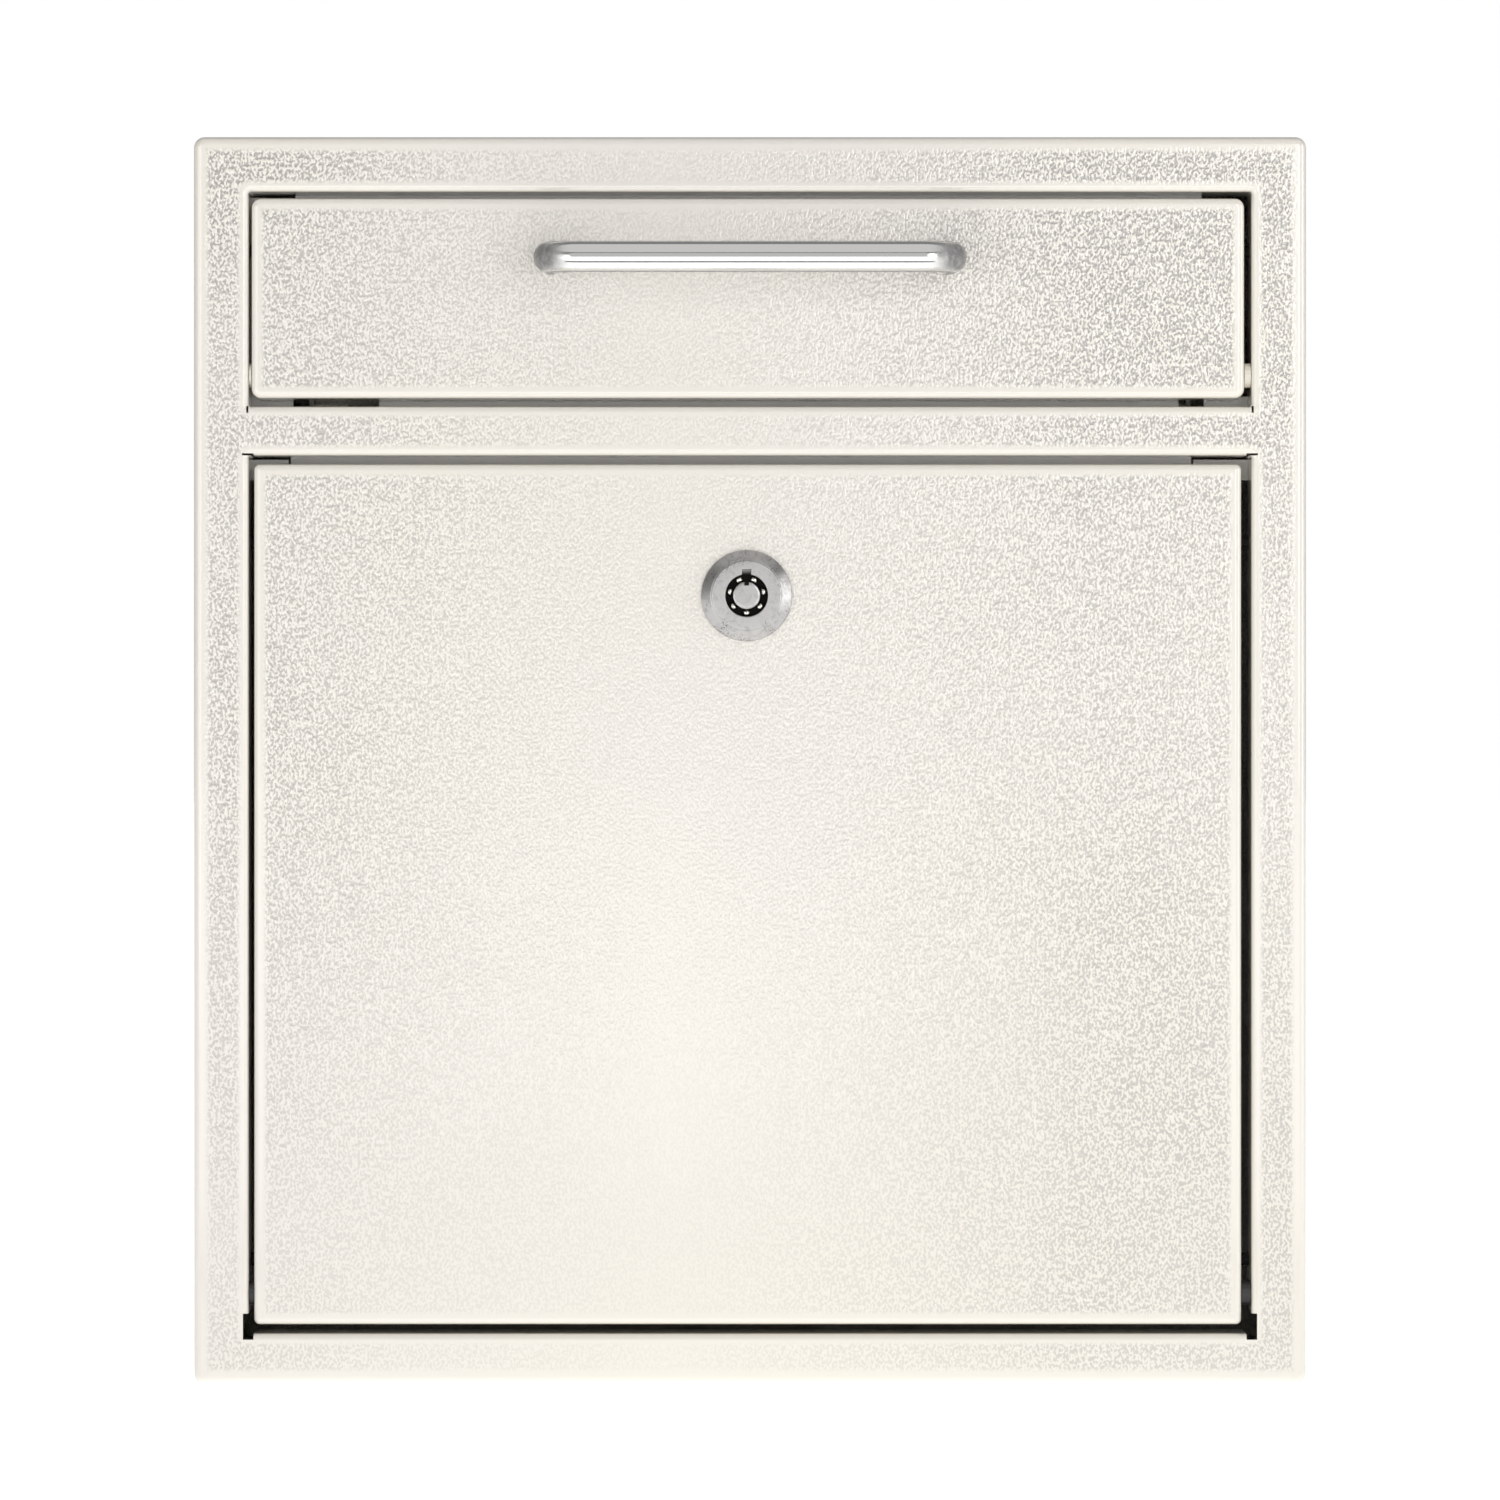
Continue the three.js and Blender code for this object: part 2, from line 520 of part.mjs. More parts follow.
// Bezel and barrel in one turned piece, notched above the keyway for the key's lug.
function lockBody() {
  const profile = [
    [KEYWAY.outer, BEZEL.front], [BEZEL.face, BEZEL.front], [BEZEL.face + 0.3, BEZEL.front + 0.15],
    [BEZEL.radius - 0.3, -1], [BEZEL.radius, -0.7], [BEZEL.radius, -GAP / 2], [BARREL, -GAP / 2],
    [BARREL, BARREL_END], [PLUG.bore, BARREL_END], [PLUG.bore, KEYWAY.floor - 0.2],
    [KEYWAY.outer, KEYWAY.floor - 0.2], [KEYWAY.outer, BEZEL.front],
  ];
  return turned(profile, 36).subtract(block(-1.1, 1.1, BEZEL.front - 1, -1, 4.6, 6.2));
}

function pinAngle(i) {
  return Math.PI / 2 - ((i + 0.5) * 2 * Math.PI) / PIN.count;
}

// The core that the key turns: centre post, seven pin bores, square drive and threaded tail.
function lockPlug() {
  const core = turned([
    [0, BEZEL.front], [KEYWAY.post - 0.2, BEZEL.front], [KEYWAY.post, BEZEL.front + 0.2],
    [KEYWAY.post, KEYWAY.floor], [PLUG.radius, KEYWAY.floor], [PLUG.radius, 15.7], [0, 15.7],
  ], 36);
  const drive = block(-DRIVE, DRIVE, BARREL_END - 1, CAM.y1 + GAP, -DRIVE, DRIVE);
  const tail = barY(TAIL.radius, CAM.y1, TAIL.end, 0, 0);
  const bores = Array.from({ length: PIN.count }, (_, i) => {
    const [x, z] = [PIN.circle * Math.cos(pinAngle(i)), PIN.circle * Math.sin(pinAngle(i))];
    return barY(PIN.bore, KEYWAY.floor - 0.5, KEYWAY.floor + PIN.depth, x, z, 12);
  });
  const slot = block(-0.55, 0.55, BEZEL.front - 1, -0.9, 2.35, 4);
  return cut(joined([core, drive, tail]), [...bores, slot]);
}

// A toothed washer, as a star-shaped plate round the barrel.
function toothedWasher() {
  const teeth = 14;
  const points = Array.from({ length: 2 * teeth }, (_, i) => {
    const radius = i % 2 ? 11.3 : 12.6;
    const angle = (i * Math.PI) / teeth;
    return new THREE.Vector2(radius * Math.cos(angle), radius * Math.sin(angle));
  });
  const star = new THREE.ExtrudeGeometry(new THREE.Shape(points), { depth: 0.7, bevelEnabled: false });
  const lying = solid(star.rotateX(-Math.PI / 2).translate(0, SHEET + GAP, 0));
  return lying.subtract(barY(BARREL + 0.15, 0, 5, 0, 0, 36));
}

function hexNut(hole, acrossFlats, y0, y1) {
  const corner = acrossFlats / 2 / Math.cos(Math.PI / 6);
  return barY(corner, y0, y1, 0, 0, 6).subtract(barY(hole, y0 - 1, y1 + 1, 0, 0, 36));
}

// A flat strip with round ends and a square hole; at rest it points left, clear of the frame.
function lockCam() {
  const strip = joined([
    block(-CAM.reach + CAM.half, 0, CAM.y0, CAM.y1, -CAM.half, CAM.half),
    barY(CAM.half, CAM.y0, CAM.y1, -CAM.reach + CAM.half, 0),
    barY(CAM.hub, CAM.y0, CAM.y1, 0, 0, 32),
  ]);
  return strip.subtract(driveHole(CAM));
}

// A disc on the same square, with a lug that limits the turn to a quarter.
function stopWasher() {
  const disc = barY(STOP_WASHER.radius, STOP_WASHER.y0, STOP_WASHER.y1, 0, 0, 32);
  const lug = block(
    -STOP_WASHER.half, STOP_WASHER.half, STOP_WASHER.y0, STOP_WASHER.y1, -STOP_WASHER.lug, 0,
  );
  return disc.add(lug).subtract(driveHole(STOP_WASHER));
}

function driveHole(piece) {
  return block(-DRIVE_HOLE, DRIVE_HOLE, piece.y0 - 1, piece.y1 + 1, -DRIVE_HOLE, DRIVE_HOLE);
}

mesh(lock, "lock_body", lockBody(), CHROME);
mesh(lock, "lock_tooth_washer", toothedWasher(), STEEL);
mesh(lock, "lock_nut", hexNut(BARREL + 0.15, 25, SHEET + 1, SHEET + 4.2), STEEL);
mesh(lock, "lock_plug", lockPlug(), CHROME);
mesh(lock, "lock_stop_washer", stopWasher(), STEEL);
mesh(lock, "lock_cam", lockCam(), STEEL);
mesh(lock, "lock_cam_nut", hexNut(TAIL.radius + 0.15, 10, CAM.y1 + 2 * GAP, TAIL.end - 1), STEEL);
for (let i = 0; i < PIN.count; i++) {
  const [radius, head, foot] = [PIN.radius, PIN.head, KEYWAY.floor + PIN.seat];
  const tip = [[0, head], [radius * 0.65, head], [radius, head + 0.3]];
  const pin = mesh(lock, `lock_pin_${i + 1}`, turned([...tip, [radius, foot], [0, foot]], 12), PIN_METAL);
  pin.position.set(PIN.circle * Math.cos(pinAngle(i)), 0, PIN.circle * Math.sin(pinAngle(i)));
}

// ---------------------------------------------------------------- the whole box

const dropBox = new THREE.Group();
dropBox.add(cabinet, hopper, door);

export default dropBox;
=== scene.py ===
"""A cream parcel drop box with a wire pull and a tubular lock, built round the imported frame."""
import json
import math
from collections import namedtuple

import bmesh
import bpy
from mathutils import Matrix, Vector


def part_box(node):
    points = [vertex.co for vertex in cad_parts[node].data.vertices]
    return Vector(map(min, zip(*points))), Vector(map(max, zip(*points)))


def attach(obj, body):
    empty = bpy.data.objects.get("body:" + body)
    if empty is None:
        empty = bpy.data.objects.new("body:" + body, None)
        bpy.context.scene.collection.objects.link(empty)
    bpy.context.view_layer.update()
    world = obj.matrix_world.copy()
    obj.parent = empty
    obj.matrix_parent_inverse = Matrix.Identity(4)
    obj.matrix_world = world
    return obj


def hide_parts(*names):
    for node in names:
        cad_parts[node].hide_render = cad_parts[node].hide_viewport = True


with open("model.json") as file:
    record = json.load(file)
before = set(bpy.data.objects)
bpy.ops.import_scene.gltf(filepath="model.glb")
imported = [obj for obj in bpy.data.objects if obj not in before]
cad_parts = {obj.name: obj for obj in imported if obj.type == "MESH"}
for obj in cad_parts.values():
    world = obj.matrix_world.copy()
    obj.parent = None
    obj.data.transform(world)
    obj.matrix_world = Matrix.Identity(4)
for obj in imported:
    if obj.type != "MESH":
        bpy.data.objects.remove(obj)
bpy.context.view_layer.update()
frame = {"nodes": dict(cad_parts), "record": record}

MM = 0.001
NODES = frame["nodes"]

# ---------------------------------------------------------------- sizes

SHEET = 1.2 * MM  # every folded part is 1.2 mm steel
RIM = 0.12 * MM  # the soft edge that the coat leaves on cut sheet
BACK_EDGE = 1.1 * MM  # outside radius of the back panel's folds
FRAME_EDGE = 2.0 * MM  # outside radius of the frame's outer fold
WINDOW_EDGE = 1.5 * MM  # outside radius of the folds round the windows
FACE_EDGE = 1.6 * MM  # outside radius of the folds round both fronts
BODY_CORNER = 2.5 * MM
WINDOW_CORNER = 0.6 * MM
HOPPER_CORNER = 2.2 * MM
DOOR_CORNER = 1.3 * MM
FRAME_RETURN = 8 * MM  # depth of the frame's outer fold
GAP = 0.1 * MM  # air between pieces that lie face to face
NOTCH = {"wide": 1.3 * MM, "below": 1.4 * MM, "above": 4.8 * MM}
SLIT = 0.5 * MM  # width of the cuts at the mid rail's ends, and of the seams between lips
TONGUE = {"reach": 14 * MM, "sheet": 1.0 * MM}  # the wrap's front end, inside the frame's outer fold
PIN_HOLE = 1.75 * MM
STOP_HOLE = 1.65 * MM
WALL_HOLE = 3.5 * MM
THROUGH = 4 * MM  # how long a tool is that goes through one sheet

BEND_STEPS = 7  # facets in a quarter bend
CORNER_STEPS = 7
SMOOTH_ANGLE = math.radians(35)  # edges sharper than this stay crisp
BEVEL_ANGLE = math.radians(40)  # edges sharper than this get a small bevel
FLAT_ANGLE = math.radians(0.5)  # CAD facets that turn less than this become one face

Rect = namedtuple("Rect", "x0 x1 z0 z1 r")


def rect_of(node, radius):
    """The front outline of a CAD node, as a rectangle with round corners."""
    low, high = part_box(node)
    return Rect(low.x, high.x, low.z, high.z, radius)


def middle_of(node, y=None):
    """The middle of a CAD node's box, or the point on its middle line at a given y."""
    low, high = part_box(node)
    middle = (low + high) / 2
    return middle if y is None else Vector((middle.x, y, middle.z))


def reach(node, start, direction):
    """The point where a CAD node's surface is met from a point, along a direction."""
    hit, place, _, _ = NODES[node].ray_cast(start, direction)
    if not hit:
        raise ValueError(f"{node} isn't met from {tuple(start)}")
    return place


def window_of(face, depth):
    """The clear rectangle that the front frame leaves round a front, at a depth behind its face."""
    middle = Vector(((face.x0 + face.x1) / 2, FRONT + depth, (face.z0 + face.z1) / 2))
    left = reach("front_frame", middle, Vector((-1, 0, 0))).x
    right = reach("front_frame", middle, Vector((1, 0, 0))).x
    bottom = reach("front_frame", middle, Vector((0, 0, -1))).z
    top = reach("front_frame", middle, Vector((0, 0, 1))).z
    return Rect(left, right, bottom, top, WINDOW_CORNER)


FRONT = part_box("front_frame")[0].y
BODY = rect_of("front_frame", BODY_CORNER)
MIDDLE_Z = (BODY.z0 + BODY.z1) / 2
HOPPER = rect_of("hopper_panel", HOPPER_CORNER)
DOOR = rect_of("door_panel", DOOR_CORNER)
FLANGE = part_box("front_frame")[1].y - FRONT  # depth of the folds round the windows
LIP_DEPTH = FLANGE - SHEET / 2
HOPPER_WINDOW = window_of(HOPPER, FLANGE / 2)
DOOR_WINDOW = window_of(DOOR, FLANGE / 2)

# ---------------------------------------------------------------- camera

CAMERA_DISTANCE = 1.8
CAMERA_RISE = 2.5 * MM  # how far the camera stands above the middle of the front
VIEW_WIDTH = 0.3558  # what the picture spans at the front face
SENSOR = 36


def make_camera():
    data = bpy.data.cameras.new("camera")
    data.sensor_width = SENSOR
    data.lens = SENSOR * CAMERA_DISTANCE / VIEW_WIDTH
    camera = bpy.data.objects.new("camera", data)
    bpy.context.scene.collection.objects.link(camera)
    camera.location = (0, FRONT - CAMERA_DISTANCE, MIDDLE_Z + CAMERA_RISE)
    camera.rotation_euler = (math.pi / 2, 0, 0)
    bpy.context.scene.camera = camera


# ---------------------------------------------------------------- mesh tools


def new_object(name, bm):
    mesh = bpy.data.meshes.new(name)
    bm.to_mesh(mesh)
    bm.free()
    made = bpy.data.objects.new(name, mesh)
    bpy.context.scene.collection.objects.link(made)
    return made


def outline(rect, grow, y):
    """Points of a rectangle with round corners, grown or shrunk, at depth y behind the front face."""
    radius = max(rect.r + grow, GAP)
    corners = [
        (rect.x1, rect.z1, 1, 1),
        (rect.x0, rect.z1, -1, 1),
        (rect.x0, rect.z0, -1, -1),
        (rect.x1, rect.z0, 1, -1),
    ]
    points = []
    for quarter, (x, z, out_x, out_z) in enumerate(corners):
        centre_x = x + out_x * (grow - radius)
        centre_z = z + out_z * (grow - radius)
        for step in range(CORNER_STEPS + 1):
            angle = (quarter + step / CORNER_STEPS) * math.pi / 2
            across, up = radius * math.cos(angle), radius * math.sin(angle)
            points.append((centre_x + across, FRONT + y, centre_z + up))
    return points


def loft(name, rect, levels, tube=False):
    """A closed skin through outlines of one rectangle, from front to back; each level is (depth, growth)."""
    bm = bmesh.new()
    rings = [[bm.verts.new(point) for point in outline(rect, grow, y)] for y, grow in levels]
    pairs = list(zip(rings, rings[1:]))
    if tube:
        pairs.append((rings[-1], rings[0]))
    else:
        bm.faces.new(rings[0])
        bm.faces.new(rings[-1])
    for near, far in pairs:
        for i, vert in enumerate(near):
            after = (i + 1) % len(near)
            bm.faces.new((vert, near[after], far[after], far[i]))
    bmesh.ops.recalc_face_normals(bm, faces=bm.faces)
    return new_object(name, bm)


def bend(radius, start=0.0, inset=0.0):
    """Levels of a rounded front edge, from the face back to where the side is straight."""
    angles = [i / BEND_STEPS * math.pi / 2 for i in range(BEND_STEPS + 1)]
    return [(start + radius * (1 - math.cos(a)), radius * (math.sin(a) - 1) - inset) for a in angles]


def pan(name, rect, depth, edge):
    """A shallow tray of sheet metal: a face with its four edges folded back."""
    outside = bend(edge) + [(depth - RIM, 0), (depth, -RIM)]
    inside = bend(edge - SHEET / 2, SHEET, SHEET) + [(depth - RIM, -SHEET), (depth, RIM - SHEET)]
    return loft(name, rect, outside + inside[::-1])


def block(x0, x1, y0, y1, z0, z1):
    """A block between two corners; its depths are behind the front face."""
    bm = bmesh.new()
    size = Vector((abs(x1 - x0), abs(y1 - y0), abs(z1 - z0)))
    middle = Vector(((x0 + x1) / 2, FRONT + (y0 + y1) / 2, (z0 + z1) / 2))
    bmesh.ops.create_cube(bm, size=1, matrix=Matrix.Translation(middle) @ Matrix.Diagonal((*size, 1)))
    return new_object("block", bm)


def turned(name, profile, centre, axis="Y", segments=64):
    """A turned piece. The profile is (radius, distance along the axis), and closes on itself or the axis."""
    bm = bmesh.new()
    rows = []
    for radius, along in profile:
        if radius == 0:
            rows.append([bm.verts.new((0, along, 0))] * segments)
            continue
        angles = [2 * math.pi * i / segments for i in range(segments)]
        rows.append([bm.verts.new((radius * math.cos(a), along, radius * math.sin(a))) for a in angles])
    closed = profile[0][0] > 0
    pairs = list(zip(rows, rows[1:])) + ([(rows[-1], rows[0])] if closed else [])
    for near, far in pairs:
        for i in range(segments):
            after = (i + 1) % segments
            corners = dict.fromkeys((near[i], near[after], far[after], far[i]))
            bm.faces.new(list(corners))
    bmesh.ops.recalc_face_normals(bm, faces=bm.faces)
    turn = Matrix.Rotation(-math.pi / 2, 4, "Z") if axis == "X" else Matrix.Identity(4)
    bmesh.ops.transform(bm, matrix=Matrix.Translation(centre) @ turn, verts=bm.verts)
    return new_object(name, bm)


def rod(radius, start, end, axis="Y", segments=32):
    """A round tool between two points on one axis."""
    length = (end - start).length
    return turned("rod", [(0, 0), (radius, 0), (radius, length), (0, length)], start, axis, segments)


def settle(piece):
    """Applies the piece's modifiers."""
    graph = bpy.context.evaluated_depsgraph_get()
    mesh = bpy.data.meshes.new_from_object(piece.evaluated_get(graph))
    piece.modifiers.clear()
    piece.data = mesh


def combine(piece, tools, operation):
    """Joins tools to a piece, or cuts them out of it, and removes them."""
    for tool in tools:
        step = piece.modifiers.new("step", "BOOLEAN")
        step.operation = operation
        step.solver = "MANIFOLD"
        step.object = tool
        settle(piece)
        bpy.data.objects.remove(tool)


def join(piece, *tools):
    combine(piece, tools, "UNION")


def cut(piece, *tools):
    combine(piece, tools, "DIFFERENCE")


def finish_surface(piece, bevel=None):
    """Smooth bends, crisp edges, and normals that keep flat faces flat."""
    if bevel:
        edge = piece.modifiers.new("edges", "BEVEL")
        edge.width = bevel
        edge.segments = 2
        edge.limit_method = "ANGLE"
        edge.angle_limit = BEVEL_ANGLE
        edge.use_clamp_overlap = True
    piece.data.shade_smooth()
    piece.data.set_sharp_from_angle(angle=SMOOTH_ANGLE)
    weighted = piece.modifiers.new("normals", "WEIGHTED_NORMAL")
    weighted.keep_sharp = True
    weighted.weight = 80


rebuilt = set()


def place(piece, body, slot, node):
    """Makes a finished piece ride on its body in place of its CAD node."""
    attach(piece, body)
    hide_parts(node)
    rebuilt.add(node)


SIDES = {"left": -1, "right": 1}

# ---------------------------------------------------------------- cabinet


def window_cut(window):
    flare = [(y, -grow) for y, grow in bend(WINDOW_EDGE)]
    return loft("cut", window, [(-SHEET, WINDOW_EDGE), *flare, (FLANGE + SHEET, 0)])


def corner_reliefs(sign):
    """Thin slits at the ends of the mid rail, and a notch at the foot of each stile."""

    def relief(out_from, out_to, z0, z1):
        wall = DOOR_WINDOW.x1
        return block(sign * (wall + out_from), sign * (wall + out_to), -SHEET, FLANGE + SHEET, z0, z1)

    foot = DOOR_WINDOW.z0
    return [
        relief(0, SLIT, HOPPER_WINDOW.z0 - WINDOW_EDGE, HOPPER_WINDOW.z0 + GAP),
        relief(-SHEET, WINDOW_EDGE, DOOR_WINDOW.z1, DOOR_WINDOW.z1 + SLIT),
        relief(-SHEET, NOTCH["wide"], foot - NOTCH["below"], foot + NOTCH["above"]),
    ]


def strip_at(z):
    """The ends of the lip that crosses the middle at a height."""
    start = Vector((0, FRONT + LIP_DEPTH, z))
    return [reach("front_frame", start, Vector((side, 0, 0))).x for side in (-1, 1)]


def lips():
    """The strips and corner tabs behind the closed fronts, which end where the CAD frame's do."""
    weld = SHEET / 2

    def lip(x0, x1, z0, z1):
        return block(x0, x1, FLANGE - SHEET, FLANGE, z0, z1)

    hopper, door = window_of(HOPPER, LIP_DEPTH), window_of(DOOR, LIP_DEPTH)
    top_left, top_right = strip_at(HOPPER_WINDOW.z1 - SHEET)
    foot_left, foot_right = strip_at(HOPPER_WINDOW.z0 + SHEET)
    door_left, door_right = strip_at(DOOR_WINDOW.z1 - SHEET)
    west, east = DOOR_WINDOW.x0 - weld, DOOR_WINDOW.x1 + weld
    return [
        lip(west, door_left - SLIT, door.z1, DOOR_WINDOW.z1 - SLIT),
        lip(door_right + SLIT, east, door.z1, DOOR_WINDOW.z1 - SLIT),
        lip(door_left, door_right, door.z1, DOOR_WINDOW.z1 + weld),
        lip(west, top_left - SLIT, HOPPER_WINDOW.z0 + SLIT, HOPPER_WINDOW.z1 - SLIT),
        lip(top_right + SLIT, east, HOPPER_WINDOW.z0 + SLIT, hopper.z0),
        lip(top_left, top_right, hopper.z1, HOPPER_WINDOW.z1 + weld),
        lip(foot_left, foot_right, HOPPER_WINDOW.z0 - weld, hopper.z0),
    ]


def fold_holes():
    """Tools for the holes that the pins and the rubber stops pass through."""
    sizes = {
        "hopper_pivot_pin": PIN_HOLE,
        "door_hinge_pin": PIN_HOLE,
        "hopper_stop": STOP_HOLE,
        "door_stop": STOP_HOLE,
        "door_open_stop": STOP_HOLE,
    }
    holes = []
    for name, sign in SIDES.items():
        near, far = sorted((sign * (DOOR_WINDOW.x1 - SHEET), sign * (DOOR_WINDOW.x1 + 2 * SHEET)))
        for node, radius in sizes.items():
            _, y, z = middle_of(f"{node}_{name}")
            holes.append(rod(radius, Vector((near, y, z)), Vector((far, y, z)), "X"))
    return holes


def front_frame():
    piece = pan("front_frame_skin", BODY, FRAME_RETURN, FRAME_EDGE)
    windows = (DOOR_WINDOW, HOPPER_WINDOW)
    join(piece, *[loft("fold", w, [(SHEET / 2, SHEET), (FLANGE, SHEET)]) for w in windows])
    cut(piece, *[window_cut(w) for w in windows])
    join(piece, *lips())
    reliefs = [tool for sign in SIDES.values() for tool in corner_reliefs(sign)]
    cut(piece, *reliefs, *fold_holes())
    finish_surface(piece)
    place(piece, "cabinet", "powder_coat", "front_frame")
    return piece


def body_wrap():
    """Both sides, top and bottom in one strip, with a thinner tongue at its front end."""
    low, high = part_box("body_wrap")
    start, rear = low.y - FRONT, high.y - FRONT
    front = FRAME_RETURN + GAP
    step = -SHEET - GAP
    tongue, back = step - TONGUE["sheet"], TONGUE["reach"]
    outside = [(front, -RIM), (front + RIM, 0), (rear - RIM, 0), (rear, -RIM)]
    inside = [(rear, RIM - SHEET), (rear - RIM, -SHEET), (back, -SHEET)]
    inside += [(back, tongue + RIM), (back - RIM, tongue)]
    lead = [(start + RIM, tongue), (start, tongue + RIM), (start, step - RIM), (start + RIM, step)]
    piece = loft("body_wrap_skin", BODY, outside + inside + lead + [(front, step)], tube=True)
    finish_surface(piece)
    place(piece, "cabinet", "powder_coat", "body_wrap")
    return piece


def back_panel():
    """A shallow pan that opens to the front, with the holes for the wall screws."""
    low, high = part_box("back_panel")
    rear, fold = high.y - FRONT, low.y - FRONT
    inset = low.x - BODY.x0
    rounded = [(rear - y, grow - inset) for y, grow in bend(BACK_EDGE)][::-1]
    inside = [(rear - y, grow - inset) for y, grow in bend(BACK_EDGE - SHEET / 2, SHEET, SHEET)]
    rim = [(fold + RIM, -inset - SHEET), (fold, RIM - inset - SHEET)]
    rim += [(fold, -inset - RIM), (fold + RIM, -inset)]
    piece = loft("back_panel_skin", BODY, inside + rim + rounded)
    for opening in frame["record"]["physics"]["openings"]:
        if opening["name"].startswith("wall_hole"):
            (x0, _, z0), (x1, _, z1) = opening["box_m"]
            centre = Vector(((x0 + x1) / 2, high.y, (z0 + z1) / 2))
            cut(piece, rod(WALL_HOLE, centre - Vector((0, THROUGH + MM, 0)), centre + Vector((0, MM, 0))))
    finish_surface(piece, RIM)
    place(piece, "cabinet", "powder_coat", "back_panel")
    return piece


# ---------------------------------------------------------------- hopper

ROD_RADIUS = 3.65 * MM
ROD_BEND = 6.5 * MM
ROD_SIDES = 48
ROD_BEND_STEPS = 20
TAP = {"radius": 2.1 * MM, "depth": 12 * MM}  # the threaded holes in the rod's two ends


def side_holes(pin, face):
    """Tools for the pin holes in both side folds of a front."""
    _, y, z = middle_of(pin)
    inward = 3 * SHEET
    left = rod(PIN_HOLE, Vector((face.x0 - SHEET, y, z)), Vector((face.x0 + inward, y, z)), "X")
    right = rod(PIN_HOLE, Vector((face.x1 - inward, y, z)), Vector((face.x1 + SHEET, y, z)), "X")
    return left, right


def hopper_panel():
    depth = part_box("hopper_panel")[1].y - FRONT
    piece = pan("hopper_panel_skin", HOPPER, depth, FACE_EDGE)
    holes = []
    for name in SIDES:
        start = middle_of(f"handle_screw_{name}", FRONT - MM)
        holes.append(rod(TAP["radius"] + 2 * GAP, start, start + Vector((0, THROUGH, 0))))
    cut(piece, *holes, *side_holes("hopper_pivot_pin_left", HOPPER))
    finish_surface(piece)
    place(piece, "hopper", "powder_coat", "hopper_panel")
    return piece


def pull_points(low, high):
    """The middle of the rod, from one foot to the other, before it droops."""
    left, right = low.x + ROD_RADIUS, high.x - ROD_RADIUS
    front = low.y + ROD_RADIUS
    z = high.z - ROD_RADIUS
    angles = [i / ROD_BEND_STEPS * math.pi / 2 for i in range(ROD_BEND_STEPS + 1)]
    points = [Vector((left, high.y, z))]
    for x, side in ((left, 1), (right, -1)):
        centre = Vector((x + side * ROD_BEND, front + ROD_BEND, z))
        arc = [centre + ROD_BEND * Vector((-side * math.cos(a), -math.sin(a), 0)) for a in angles]
        points += arc if side == 1 else arc[::-1]
    points.append(Vector((right, high.y, z)))
    return points


def pull():
    """The wire pull: a rod swept along its two legs and bar, then sheared so that the bar hangs lower."""
    low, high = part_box("handle")
    droop = (high.z - low.z) - 2 * ROD_RADIUS
    points = pull_points(low, high)
    up = Vector((0, 0, 1))
    angles = [2 * math.pi * k / ROD_SIDES for k in range(ROD_SIDES)]
    bm = bmesh.new()
    rings = []
    for i, point in enumerate(points):
        along = (points[min(i + 1, len(points) - 1)] - points[max(i - 1, 0)]).normalized()
        across = along.cross(up)
        ring = [point + ROD_RADIUS * (math.cos(a) * across + math.sin(a) * up) for a in angles]
        rings.append([bm.verts.new(spot) for spot in ring])
    for near, far in zip(rings, rings[1:]):
        for k in range(ROD_SIDES):
            after = (k + 1) % ROD_SIDES
            bm.faces.new((near[k], near[after], far[after], far[k]))
    bm.faces.new(rings[0])
    bm.faces.new(rings[-1])
    for vert in bm.verts:
        vert.co.z += droop * (vert.co.y - high.y) / (high.y - low.y)
    bmesh.ops.recalc_face_normals(bm, faces=bm.faces)
    piece = new_object("wire_pull", bm)
    for end in (points[0], points[-1]):
        cut(piece, rod(TAP["radius"], end - Vector((0, TAP["depth"], 0)), end + Vector((0, MM, 0))))
    finish_surface(piece)
    place(piece, "hopper", "bright_chrome", "handle")
    return piece


# ---------------------------------------------------------------- door and lock

LOCK = middle_of("lock_body", FRONT)
BEZEL = {"radius": 10.8 * MM, "face": 8.1 * MM, "front": -3.0 * MM}
KEYWAY = {"outer": 5.02 * MM, "post": 3.25 * MM, "floor": 3.4 * MM}
KEY_NOTCH = {"half": 1.1 * MM, "top": 6.2 * MM, "floor": -1.0 * MM}  # lets the key's lug in at 12 o'clock
BARREL = {"radius": 9.3 * MM, "end": 15.6 * MM, "pitch": 1.0 * MM, "groove": 0.28 * MM}
PLUG = {"bore": 6.25 * MM, "radius": 6.1 * MM}
PIN_BORE = {"radius": 0.9 * MM, "depth": 6 * MM}
POST_SLOT = {"half": 0.55 * MM, "foot": 2.35 * MM, "floor": -0.9 * MM}  # in the centre post, at 12 o'clock
DRIVE = 3.2 * MM  # half the square that the cam sits on
TAIL = {"radius": 2.9 * MM, "start": 18.3 * MM, "end": 23 * MM, "pitch": 0.7 * MM, "groove": 0.22 * MM}
NUT_PLAY = 0.15 * MM  # a nut's hole is this much wider than its thread
LOCK_BEVEL = {"body": 0.06 * MM, "plug": 0.05 * MM, "nut": 0.08 * MM}
PINS = [f"lock_pin_{i}" for i in range(1, 8)]


def door_panel():
    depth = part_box("door_panel")[1].y - FRONT
    piece = pan("door_panel_skin", DOOR, depth, FACE_EDGE)
    start = LOCK - Vector((0, MM, 0))
    lock_hole = rod(BARREL["radius"] + 2 * GAP, start, start + Vector((0, THROUGH, 0)), segments=64)
    cut(piece, lock_hole, *side_holes("door_hinge_pin_left", DOOR))
    finish_surface(piece)
    place(piece, "door", "powder_coat", "door_panel")
    return piece


